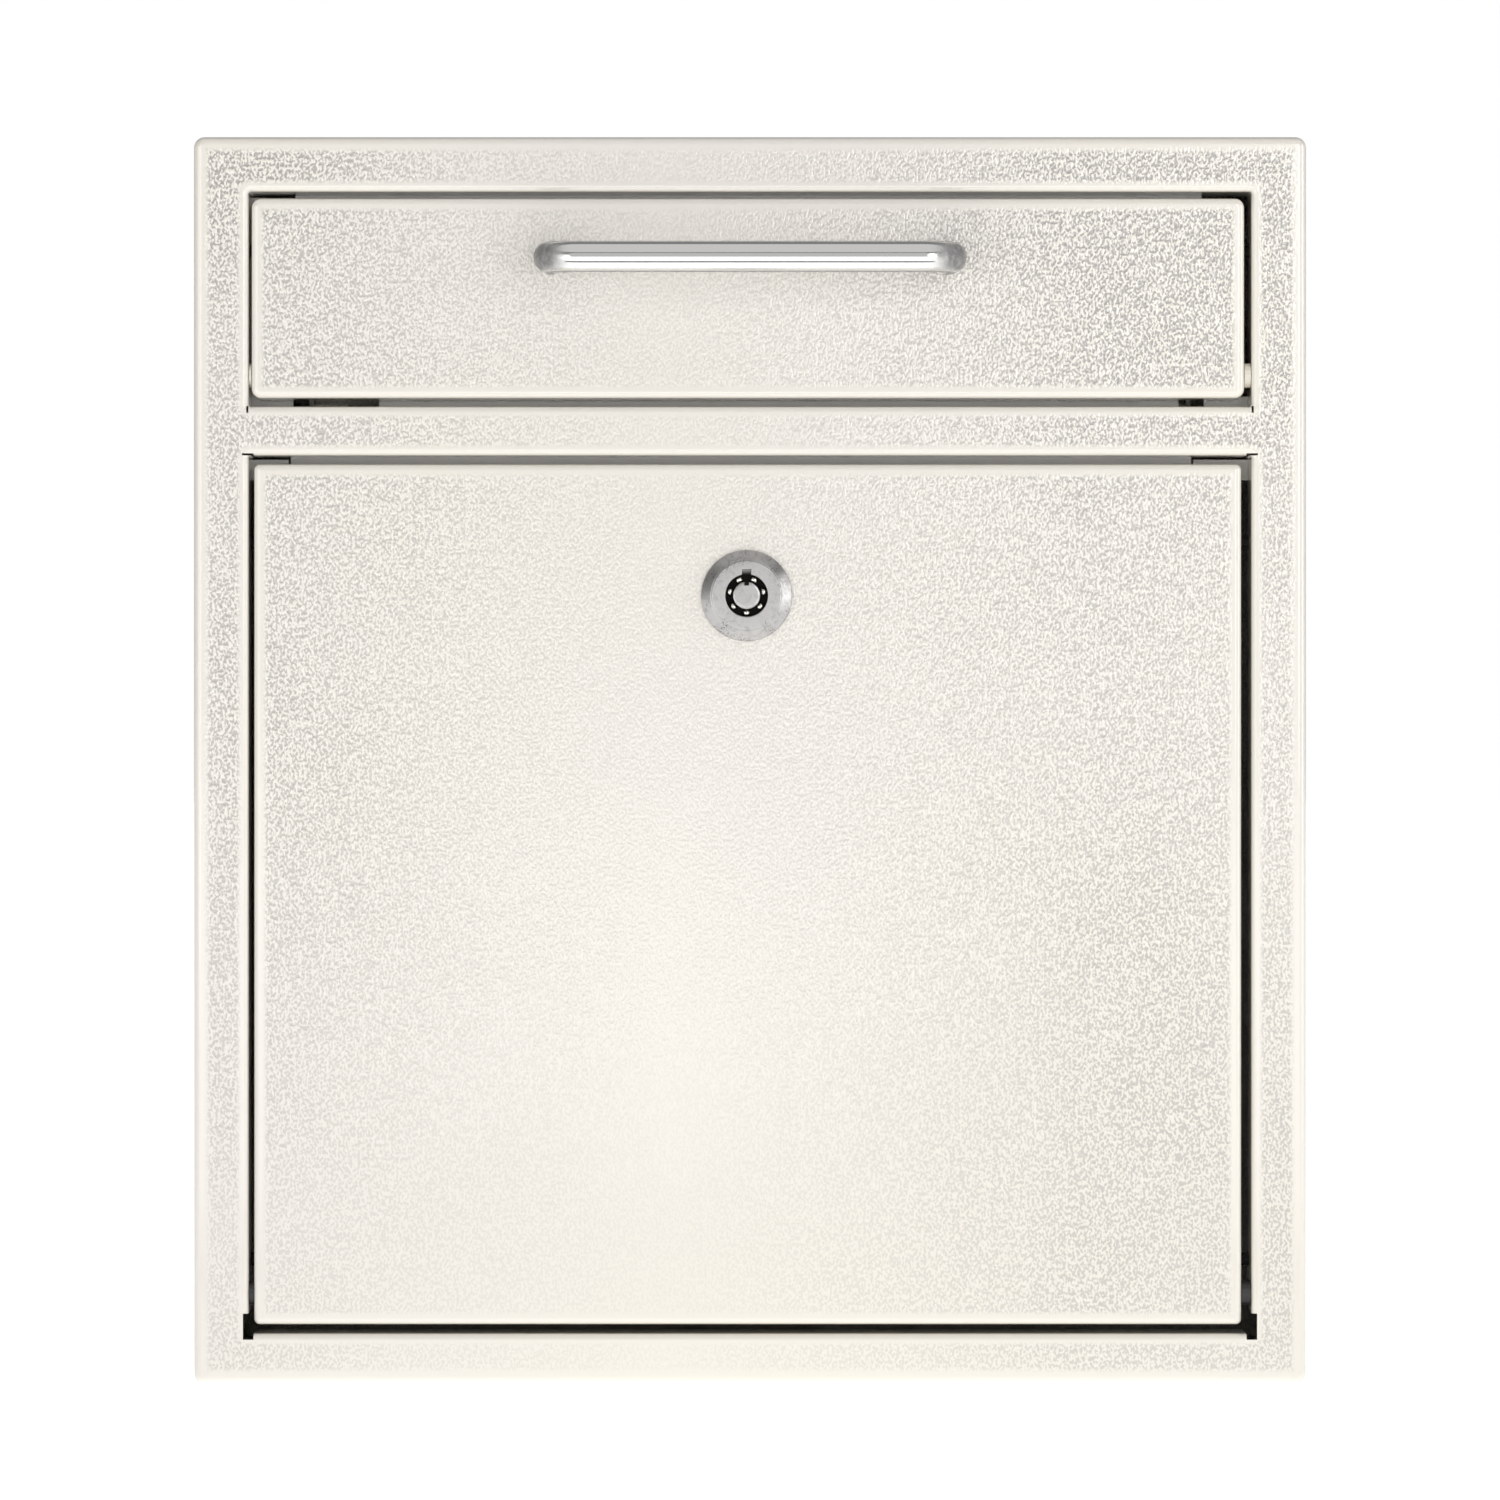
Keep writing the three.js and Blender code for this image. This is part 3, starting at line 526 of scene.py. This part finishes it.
def thread(radius, start, end, pitch, groove):
    """Profile points of a threaded stretch, as a row of grooves."""
    points = []
    for i in range(int((end - start) / pitch)):
        crest = start + i * pitch
        points += [(radius, crest), (radius, crest + 0.25 * pitch), (radius - groove, crest + 0.6 * pitch)]
    return points + [(radius, end)]


def lock_body():
    """Bezel and barrel in one turned piece, notched above the keyway for the key's lug."""
    soft = 0.25 * MM
    chamfer = 0.15 * MM
    rim = 0.75 * MM
    overlap = 0.4 * MM
    front, radius, face = BEZEL["front"], BEZEL["radius"], BEZEL["face"]
    inner = KEYWAY["floor"] - 2 * GAP
    rim_to_cone = [(0, 0), (0.08 * MM, 0.15 * MM), (soft, 0.3 * MM)]
    groove = [(2 * soft, 0.35 * MM), (soft, 0.32 * MM), (soft / 2, 0.06 * MM), (-soft / 2, 0)]
    profile = [(KEYWAY["outer"] + chamfer, front), (KEYWAY["outer"], front + chamfer)]
    profile += [(KEYWAY["outer"], inner), (PLUG["bore"], inner)]
    profile += [(PLUG["bore"], BARREL["end"]), (BARREL["radius"] - BARREL["groove"], BARREL["end"])]
    profile += thread(BARREL["radius"], GAP, BARREL["end"] - 2 * GAP, BARREL["pitch"], BARREL["groove"])[::-1]
    profile += [(BARREL["radius"], -GAP / 2), (radius, -GAP / 2)]
    profile += [(radius - inward, -rim - ahead) for inward, ahead in rim_to_cone]
    profile += [(face + outward, front + deep) for outward, deep in groove]
    piece = turned("lock_body_fine", profile, LOCK, segments=96)
    left, right = LOCK.x - KEY_NOTCH["half"], LOCK.x + KEY_NOTCH["half"]
    low, high = LOCK.z + KEYWAY["outer"] - overlap, LOCK.z + KEY_NOTCH["top"]
    cut(piece, block(left, right, front - MM, KEY_NOTCH["floor"], low, high))
    finish_surface(piece, LOCK_BEVEL["body"])
    place(piece, "door", "lock_nickel", "lock_body")
    return piece


def plug_tail():
    """The threaded stub behind the square that the cam nut goes on."""
    radius, start, end = TAIL["radius"], TAIL["start"], TAIL["end"]
    profile = [(0, start - MM), (radius, start - MM)]
    profile += thread(radius, start, end - 2 * GAP, TAIL["pitch"], TAIL["groove"])
    profile += [(radius - 0.3 * MM, end), (0, end)]
    return turned("tail", profile, LOCK, segments=32)


def lock_plug():
    """The core that the key turns: centre post, seven pin bores, square drive and threaded tail."""
    front, soft, post = BEZEL["front"], 0.25 * MM, KEYWAY["post"]
    shoulder = BARREL["end"] + GAP
    profile = [(0, front), (post - 3 * soft, front), (post - soft, front)]
    profile += [(post - soft / 3, front + soft / 3), (post, front + soft), (post, KEYWAY["floor"])]
    profile += [(PLUG["radius"], KEYWAY["floor"]), (PLUG["radius"], shoulder), (0, shoulder)]
    piece = turned("lock_plug_fine", profile, LOCK, segments=72)
    x, z = LOCK.x, LOCK.z
    square = block(x - DRIVE, x + DRIVE, shoulder - MM, TAIL["start"] + GAP, z - DRIVE, z + DRIVE)
    join(piece, square, plug_tail())
    bores = []
    for pin in PINS:
        start = middle_of(pin, FRONT + KEYWAY["floor"] - MM)
        end = start + Vector((0, PIN_BORE["depth"] + MM, 0))
        bores.append(rod(PIN_BORE["radius"], start, end, segments=24))
    half, foot, floor = POST_SLOT["half"], POST_SLOT["foot"], POST_SLOT["floor"]
    slot = block(x - half, x + half, front - MM, floor, z + foot, z + post + 3 * soft)
    cut(piece, *bores, slot)
    finish_surface(piece, LOCK_BEVEL["plug"])
    place(piece, "lock_core", "lock_nickel", "lock_plug")
    return piece


def lock_pin(node):
    """A turned pin with a domed head, standing in its bore."""
    low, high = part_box(node)
    radius = (high.x - low.x) / 2
    length = high.y - low.y
    rise = 0.55 * radius
    angles = [i * math.pi / 12 for i in range(7)]
    dome = [(radius * math.sin(a), rise * (1 - math.cos(a))) for a in angles]
    profile = dome + [(radius, length), (0, length)]
    piece = turned(f"{node}_fine", profile, middle_of(node, low.y), segments=32)
    finish_surface(piece)
    place(piece, "lock_core", "nickel_silver", node)
    return piece


def hex_prism(name, centre, corner, thick, first):
    """A six-sided prism from a centre backwards; its first corner stands at an angle."""
    bm = bmesh.new()
    angles = [first + i * math.pi / 3 for i in range(6)]
    ring = [centre + corner * Vector((math.cos(a), 0, math.sin(a))) for a in angles]
    face = bm.faces.new([bm.verts.new(point) for point in ring])
    made = bmesh.ops.extrude_face_region(bm, geom=[face])
    top = [v for v in made["geom"] if isinstance(v, bmesh.types.BMVert)]
    bmesh.ops.translate(bm, vec=(0, thick, 0), verts=top)
    bmesh.ops.recalc_face_normals(bm, faces=bm.faces)
    return new_object(name, bm)


def hex_nut(name, node, body, thread_radius, pitch):
    """A nut with turned chamfers and a smooth hole that has an edge ring at each turn of its thread."""
    low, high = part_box(node)
    centre = middle_of(node, low.y)
    thick = high.y - low.y
    flat, corner = sorted(((high.x - low.x) / 2, (high.z - low.z) / 2))
    chamfer = (corner - flat) * 0.55
    crown = flat * 0.98
    points_sideways = high.x - low.x > high.z - low.z
    piece = hex_prism(name, centre, corner, thick, 0 if points_sideways else math.pi / 6)
    wide = corner + MM
    front = [(0, -MM), (crown, -MM), (crown, 0), (corner, chamfer), (wide, chamfer)]
    back = [(radius, thick - along) for radius, along in front[::-1]]
    combine(piece, [turned("cone", front + back, centre, segments=72)], "INTERSECT")
    hole = thread_radius + NUT_PLAY
    bore = [(0, -MM), (hole, -MM)] + thread(hole, 0, thick, pitch, 0) + [(hole, thick + MM), (0, thick + MM)]
    cut(piece, turned("bore", bore, centre, segments=64))
    finish_surface(piece, LOCK_BEVEL["nut"])
    place(piece, body, "zinc_steel", node)
    return piece


# ---------------------------------------------------------------- materials


class Shader:
    """A small helper round one material's node tree."""

    def __init__(self, name):
        self.material = bpy.data.materials.new(name)
        self.material.use_nodes = True
        self.tree = self.material.node_tree
        self.tree.nodes.clear()
        output = self.tree.nodes.new("ShaderNodeOutputMaterial")
        self.surface = self.tree.nodes.new("ShaderNodeBsdfPrincipled")
        self.tree.links.new(self.surface.outputs[0], output.inputs["Surface"])
        self.coordinates = self.tree.nodes.new("ShaderNodeTexCoord")
        self.place = self.coordinates.outputs["Object"]

    def feed(self, value, socket):
        if isinstance(value, bpy.types.NodeSocket):
            self.tree.links.new(value, socket)
        else:
            socket.default_value = value

    def math(self, operation, *values):
        node = self.tree.nodes.new("ShaderNodeMath")
        node.operation = operation
        for value, socket in zip(values, node.inputs):
            self.feed(value, socket)
        return node.outputs[0]

    def product(self, *values):
        result = values[0]
        for value in values[1:]:
            result = self.math("MULTIPLY", result, value)
        return result

    def split(self, vector):
        """The three coordinates of a point or a direction."""
        node = self.tree.nodes.new("ShaderNodeSeparateXYZ")
        self.feed(vector, node.inputs[0])
        return node.outputs

    def stretched(self, scale):
        """The object's own coordinates, scaled along each axis."""
        node = self.tree.nodes.new("ShaderNodeMapping")
        self.feed(self.place, node.inputs["Vector"])
        node.inputs["Scale"].default_value = scale
        return node.outputs[0]

    def noise(self, scale, detail=2.0, roughness=0.5, distortion=0.0, vector=None):
        node = self.tree.nodes.new("ShaderNodeTexNoise")
        self.feed(vector or self.place, node.inputs["Vector"])
        node.inputs["Scale"].default_value = scale
        node.inputs["Detail"].default_value = detail
        node.inputs["Roughness"].default_value = roughness
        node.inputs["Distortion"].default_value = distortion
        return node.outputs["Fac"]

    def remap(self, value, from_low, from_high, to_low=0.0, to_high=1.0, smooth=False):
        node = self.tree.nodes.new("ShaderNodeMapRange")
        if smooth:
            node.interpolation_type = "SMOOTHSTEP"
        for socket, fed in zip(node.inputs, (value, from_low, from_high, to_low, to_high)):
            self.feed(fed, socket)
        return node.outputs[0]

    def mix(self, factor, first, second):
        node = self.tree.nodes.new("ShaderNodeMix")
        node.data_type = "RGBA"
        self.feed(factor, node.inputs["Factor"])
        self.feed(first, node.inputs["A"])
        self.feed(second, node.inputs["B"])
        return node.outputs["Result"]

    def bump(self, height, distance, strength=1.0, below=None):
        node = self.tree.nodes.new("ShaderNodeBump")
        node.inputs["Distance"].default_value = distance
        self.feed(strength, node.inputs["Strength"])
        self.feed(height, node.inputs["Height"])
        if below:
            self.feed(below, node.inputs["Normal"])
        return node.outputs[0]

    def set(self, **sockets):
        for name, value in sockets.items():
            self.feed(value, self.surface.inputs[name.replace("_", " ")])


def edge_distance(shader, rect):
    """How far a point is from a rectangle's nearest edge line, within the front's plane."""
    x, _, z = shader.split(shader.place)
    past = []
    for along, low, high in ((x, rect.x0, rect.x1), (z, rect.z0, rect.z1)):
        off_middle = shader.math("ABSOLUTE", shader.math("SUBTRACT", along, (low + high) / 2))
        past.append(shader.math("SUBTRACT", off_middle, (high - low) / 2))
    inside = shader.math("MINIMUM", shader.math("MAXIMUM", *past), 0)
    beyond = [shader.math("MAXIMUM", value, 0) for value in past]
    squares = [shader.product(value, value) for value in beyond]
    outside = shader.math("SQRT", shader.math("ADD", *squares))
    return shader.math("ABSOLUTE", shader.math("ADD", inside, outside))


CREAM_WARM = (0.83, 0.79, 0.7, 1)
CREAM_COOL = (0.8, 0.765, 0.71, 1)
# the dark cream painted into the valleys between the bumps, as painted shade
CREAM_PAINTED_SHADE = (0.38, 0.36, 0.335, 1)
GRAIN = 1750  # the grain noise's scale, per metre
GRAIN_TALL = 0.7  # the noise is squeezed upwards by this, so the bumps are taller than wide
GRAIN_HEIGHT = 0.13 * MM
FINE_SIDE = 0.15 * BODY.x0  # where across the front the coat is finest


def sprayed(shader):
    """How coarse the coat came out: coarsest on the right, finest near the middle and low down; it also sets
    how dark the painted shade in the valleys is.
    """
    x, _, z = shader.split(shader.place)
    off_middle = shader.math("ABSOLUTE", shader.math("SUBTRACT", x, FINE_SIDE))
    across = shader.remap(off_middle, 0.0, 0.1, 0.4, 1.0)
    upward = shader.remap(z, BODY.z0, BODY.z1, 0.75, 1.15)
    patchy = shader.remap(shader.noise(9, 2, 0.6), 0.3, 0.7, 0.85, 1.1)
    return shader.product(across, upward, patchy)


def powder_coat(name, folds=(), relief=1.0):
    """Cream hammertone enamel: worm-like bumps that flow out flat along the folds, with painted shade
    darkening the valleys between the bumps.

    Each fold is a rectangle, with the distances from its edge where the bumps start and are full.
    """
    shader = Shader(name)
    grain = shader.noise(GRAIN, 0.5, 0.35, 0.4, shader.stretched((1, 1, GRAIN_TALL)))
    worms = shader.remap(grain, 0.22, 0.78)
    strength = shader.product(sprayed(shader), relief)
    for rect, near, far in folds:
        fade = shader.remap(edge_distance(shader, rect), near, far, smooth=True)
        strength = shader.product(strength, fade)
    soft = shader.bump(shader.noise(70, 1, 0.5), 0.2 * MM, 0.3)
    normal = shader.bump(worms, GRAIN_HEIGHT, strength, soft)
    tint = shader.mix(shader.remap(shader.noise(4.5, 2, 0.55), 0.35, 0.65), CREAM_COOL, CREAM_WARM)
    # Painted shade: the valleys between the bumps are mixed towards the dark cream, most where the bumps are
    # strongest.
    valley_mask = shader.remap(worms, 0.62, 0.36)
    painted_valley_shade = shader.product(valley_mask, shader.product(shader.product(strength, strength), 0.85))
    shader.set(Base_Color=shader.mix(painted_valley_shade, tint, CREAM_PAINTED_SHADE), Normal=normal)
    shader.set(Roughness=shader.remap(shader.noise(300, 2, 0.5), 0.3, 0.7, 0.3, 0.4))
    shader.set(Coat_Weight=1.0, Coat_Roughness=0.12, Coat_IOR=2.0, Coat_Normal=normal)
    return shader.material


def chrome():
    """Polished plate: hair scratches along the rod, and painted shade, in patches, that darkens and dulls its
    bends and its top and bottom edges.
    """
    shader = Shader("polished_chrome")
    sideways, _, upward = shader.split(shader.coordinates.outputs["Normal"])
    in_bend = shader.remap(shader.math("ABSOLUTE", sideways), 0.1, 0.65, smooth=True)
    on_edge = shader.remap(shader.math("ABSOLUTE", upward), 0.9, 0.99, smooth=True)
    patchy = shader.remap(shader.noise(700, 3, 0.6), 0.3, 0.6, 0.7, 0.95)
    # Painted shade: where the rod faces sideways in the bends or up and down at its edges, it is painted
    # dark, less metallic and rougher, in patches.
    painted_edge_shade = shader.product(shader.math("MAXIMUM", in_bend, on_edge), patchy)
    shader.set(Base_Color=shader.mix(painted_edge_shade, (0.84, 0.84, 0.83, 1), (0.15, 0.145, 0.145, 1)))
    shader.set(Metallic=shader.math("SUBTRACT", 1.0, painted_edge_shade))
    haze = shader.noise(60, 3, 0.6)
    polish = shader.remap(haze, 0.3, 0.7, 0.07, 0.12)
    shader.set(Roughness=shader.math("ADD", polish, shader.product(painted_edge_shade, 0.4)))
    scratches = shader.noise(900, 2, 0.6, 0, shader.stretched((0.03, 1, 1)))
    shader.set(Normal=shader.bump(scratches, 0.004 * MM, 0.25))
    return shader.material


def from_lock(shader):
    """How far a point is from the lock's axis, and how deep it lies behind the front face."""
    x, y, z = shader.split(shader.place)
    out_x = shader.math("SUBTRACT", x, LOCK.x)
    out_z = shader.math("SUBTRACT", z, LOCK.z)
    square = shader.math("ADD", shader.product(out_x, out_x), shader.product(out_z, out_z))
    return shader.math("SQRT", square), shader.math("SUBTRACT", y, FRONT)


def turned_nickel():
    """Plated brass: fine turning rings, scuffs and specks from keys, and painted shade that makes the inside
    of the keyway nearly black.
    """
    shader = Shader("turned_nickel")
    radius, depth = from_lock(shader)
    ring_width = 0.16 * MM
    rings = shader.math("SINE", shader.product(radius, 2 * math.pi / ring_width))
    scuffs = shader.remap(shader.noise(420, 4, 0.65, 0.8), 0.5, 0.68)
    specks = shader.remap(shader.noise(3000, 2, 0.6), 0.52, 0.6)
    patches = shader.remap(shader.noise(260, 2, 0.5), 0.46, 0.6)
    on_cone = shader.remap(radius, BEZEL["face"] - MM, BEZEL["face"] + 0.5 * MM, 0.25, 1.0)
    pitted = shader.product(specks, patches, on_cone)
    worn = shader.mix(scuffs, (0.53, 0.52, 0.515, 1), (0.42, 0.41, 0.405, 1))
    worn = shader.mix(shader.product(pitted, 0.75), worn, (0.1, 0.1, 0.095, 1))
    below_face = shader.remap(depth, BEZEL["front"] + 0.15 * MM, BEZEL["front"] + 0.5 * MM)
    in_keyway = shader.remap(radius, KEY_NOTCH["top"] + 0.5 * MM, KEYWAY["outer"] + 0.2 * MM)
    # Painted shade: everything below the face inside the keyway and its notch is painted nearly black and
    # rough.
    keyway_painted_shade = shader.product(below_face, in_keyway)
    shader.set(Base_Color=shader.mix(keyway_painted_shade, worn, (0.035, 0.033, 0.03, 1)), Metallic=1.0)
    dull = shader.math("MAXIMUM", keyway_painted_shade, shader.product(scuffs, 0.5))
    shader.set(Roughness=shader.remap(dull, 0, 1, 0.3, 0.5))
    height = shader.math("ADD", shader.product(rings, 0.3), shader.noise(1800, 2, 0.6))
    shader.set(Normal=shader.bump(height, 0.006 * MM, 0.6))
    return shader.material


def zinc():
    shader = Shader("bright_zinc")
    grain = shader.noise(700, 3, 0.6, 0, shader.stretched((1, 1, 0.08)))
    spangle = shader.noise(240, 2, 0.5)
    color = shader.mix(shader.remap(spangle, 0.35, 0.65), (0.62, 0.63, 0.65, 1), (0.5, 0.51, 0.52, 1))
    shader.set(Base_Color=color, Metallic=1.0, Roughness=shader.remap(grain, 0.3, 0.7, 0.24, 0.42))
    shader.set(Normal=shader.bump(grain, 0.01 * MM, 0.5))
    return shader.material


def nickel_silver():
    shader = Shader("turned_nickel_silver")
    rings = shader.noise(2600, 2, 0.5)
    shader.set(Base_Color=shader.mix(rings, (0.86, 0.84, 0.78, 1), (0.74, 0.72, 0.66, 1)), Metallic=1.0)
    shader.set(Roughness=shader.remap(rings, 0.3, 0.7, 0.16, 0.28))
    shader.set(Normal=shader.bump(rings, 0.004 * MM, 0.5))
    return shader.material


def rubber():
    shader = Shader("black_rubber")
    grain = shader.noise(2400, 3, 0.6)
    shader.set(Base_Color=shader.mix(grain, (0.012, 0.012, 0.012, 1), (0.03, 0.03, 0.029, 1)))
    shader.set(Roughness=shader.remap(grain, 0.3, 0.7, 0.7, 0.9), Normal=shader.bump(grain, 0.03 * MM, 0.6))
    return shader.material


def nylon(name, light, dark):
    shader = Shader(name)
    cloud = shader.noise(500, 3, 0.5)
    shader.set(Base_Color=shader.mix(cloud, light, dark))
    shader.set(Roughness=shader.remap(cloud, 0.3, 0.7, 0.38, 0.52), Normal=shader.bump(cloud, 0.02 * MM, 0.4))
    return shader.material


def give(piece, material):
    piece.data.materials.clear()
    piece.data.materials.append(material)


# ---------------------------------------------------------------- studio

FLOOR_SIZE = 40
FLOOR_DROP = 0.2 * MM  # how far the floor lies under the box
BAR_SIZE = (0.5, 0.09, 0.004)


def camera_only(tree, seen, otherwise):
    """A strength that the camera sees, and another one that lights the object."""
    rays = tree.nodes.new("ShaderNodeLightPath")
    mix = tree.nodes.new("ShaderNodeMix")
    tree.links.new(rays.outputs["Is Camera Ray"], mix.inputs["Factor"])
    mix.inputs["A"].default_value = otherwise
    mix.inputs["B"].default_value = seen
    return mix.outputs["Result"]


def make_floor(glow):
    """A white floor that blends into the backdrop and throws some light up at the box."""
    bm = bmesh.new()
    bmesh.ops.create_grid(bm, x_segments=2, y_segments=2, size=FLOOR_SIZE / 2)
    floor = new_object("floor", bm)
    floor.location.z = -FLOOR_DROP
    shader = Shader("floor_white")
    shader.set(Base_Color=(0.8, 0.8, 0.8, 1), Roughness=0.9)
    shader.set(Emission_Color=(1, 1, 1, 1), Emission_Strength=camera_only(shader.tree, 1.0, glow))
    give(floor, shader.material)


def make_world(fill):
    """White to the camera, and a dimmer fill for the object."""
    world = bpy.data.worlds.new("studio")
    bpy.context.scene.world = world
    world.use_nodes = True
    tree = world.node_tree
    background = tree.nodes["Background"]
    background.inputs["Color"].default_value = (1, 1, 1, 1)
    tree.links.new(camera_only(tree, 1.0, fill), background.inputs["Strength"])


def softbox(name, spot, width, height, radiance, color=(1, 1, 1)):
    """An oval area light that faces the middle of the front, given by how bright its surface is."""
    data = bpy.data.lights.new(name, "AREA")
    data.shape = "ELLIPSE"
    data.size = width
    data.size_y = height
    data.color = color
    area = width * height * (math.pi / 4)
    data.energy = 4 * radiance * area
    light = bpy.data.objects.new(name, data)
    light.location = spot
    target = Vector((0, FRONT, MIDDLE_Z))
    light.rotation_euler = (target - Vector(spot)).to_track_quat("-Z", "Y").to_euler()
    light.visible_camera = False
    bpy.context.scene.collection.objects.link(light)


def dark_line(height, distance):
    """A flat dark bar on the floor that only shows as a line in the polished pull."""
    bm = bmesh.new()
    bmesh.ops.create_cube(bm, size=1, matrix=Matrix.Diagonal((*BAR_SIZE, 1)))
    bar = new_object("studio_bar", bm)
    bar.location = (0, FRONT - distance, height)
    shader = Shader("bar_black")
    shader.set(Base_Color=(0.01, 0.01, 0.01, 1), Roughness=0.9)
    give(bar, shader.material)
    bar.visible_camera = False
    bar.visible_diffuse = False
    bar.visible_shadow = False


def make_lights():
    """A dim fill, broad soft panels on all sides, and the bar that draws the line in the pull."""
    make_world(0.22)
    softbox("behind_camera", (0, -2.4, 0.3), 3.2, 2.2, 0.27)
    softbox("low_front", (-0.1, -0.7, 0.04), 1.3, 0.2, 0.5, (1, 0.985, 0.94))
    softbox("ceiling", (0, -0.6, 1.5), 2.6, 1.9, 0.34, (1, 0.975, 0.965))
    softbox("right_panel", (0.36, -0.8, 0.36), 0.36, 0.46, 1.8)
    softbox("left_panel", (-0.64, -0.75, 0.28), 0.9, 0.45, 0.85)
    softbox("right_wall", (1.0, -0.35, 0.35), 0.4, 0.8, 1.8)
    dark_line(0.004, 0.34)


# ---------------------------------------------------------------- the whole box


def dress_cad_nodes(materials):
    """Materials and crisp edges for the CAD nodes that stay."""
    slots = {part["node"]: part["material_slot"] for part in frame["record"]["subparts"]}
    for name, node in NODES.items():
        if name in rebuilt:
            continue
        give(node, materials[slots[name]])
        flat = node.modifiers.new("flats", "DECIMATE")
        flat.decimate_type = "DISSOLVE"
        flat.angle_limit = FLAT_ANGLE
        edge = node.modifiers.new("edges", "BEVEL")
        edge.width = RIM
        edge.segments = 2
        edge.limit_method = "ANGLE"
        edge.angle_limit = BEVEL_ANGLE
        node.data.shade_smooth()
        node.data.set_sharp_from_angle(angle=SMOOTH_ANGLE)
        node.modifiers.new("normals", "WEIGHTED_NORMAL").keep_sharp = True


make_camera()
make_floor(0.75)
make_lights()

outer_fold = (BODY, 2.0 * MM, 4.2 * MM)
window_folds = [(window, 1.2 * MM, 3.0 * MM) for window in (DOOR_WINDOW, HOPPER_WINDOW)]
frame_coat = powder_coat("coat_frame", [outer_fold, *window_folds])
hopper_coat = powder_coat("coat_hopper", [(HOPPER, 1.6 * MM, 3.4 * MM)])
door_coat = powder_coat("coat_door", [(DOOR, 1.6 * MM, 3.4 * MM)])
by_slot = {  # the materials that CAD nodes get for their slot in the record
    "powder_coat": powder_coat("coat_inner", relief=0.7),
    "zinc_steel": zinc(),
    "nickel_silver": nickel_silver(),
    "black_rubber": rubber(),
    "white_nylon": nylon("natural_nylon", (0.8, 0.77, 0.68, 1), (0.74, 0.71, 0.62, 1)),
    "black_nylon": nylon("black_nylon", (0.03, 0.03, 0.03, 1), (0.018, 0.018, 0.018, 1)),
}

give(front_frame(), frame_coat)
give(body_wrap(), by_slot["powder_coat"])
give(back_panel(), by_slot["powder_coat"])
give(hopper_panel(), hopper_coat)
give(pull(), chrome())
give(door_panel(), door_coat)
nickel = turned_nickel()
give(lock_body(), nickel)
give(lock_plug(), nickel)
for pin_node in PINS:
    give(lock_pin(pin_node), by_slot["nickel_silver"])
give(hex_nut("lock_nut_fine", "lock_nut", "door", BARREL["radius"], MM), by_slot["zinc_steel"])
cam_nut = hex_nut("lock_cam_nut_fine", "lock_cam_nut", "lock_core", TAIL["radius"], TAIL["pitch"])
give(cam_nut, by_slot["zinc_steel"])

dress_cad_nodes(by_slot)

bpy.context.scene.view_settings.view_transform = "Standard"
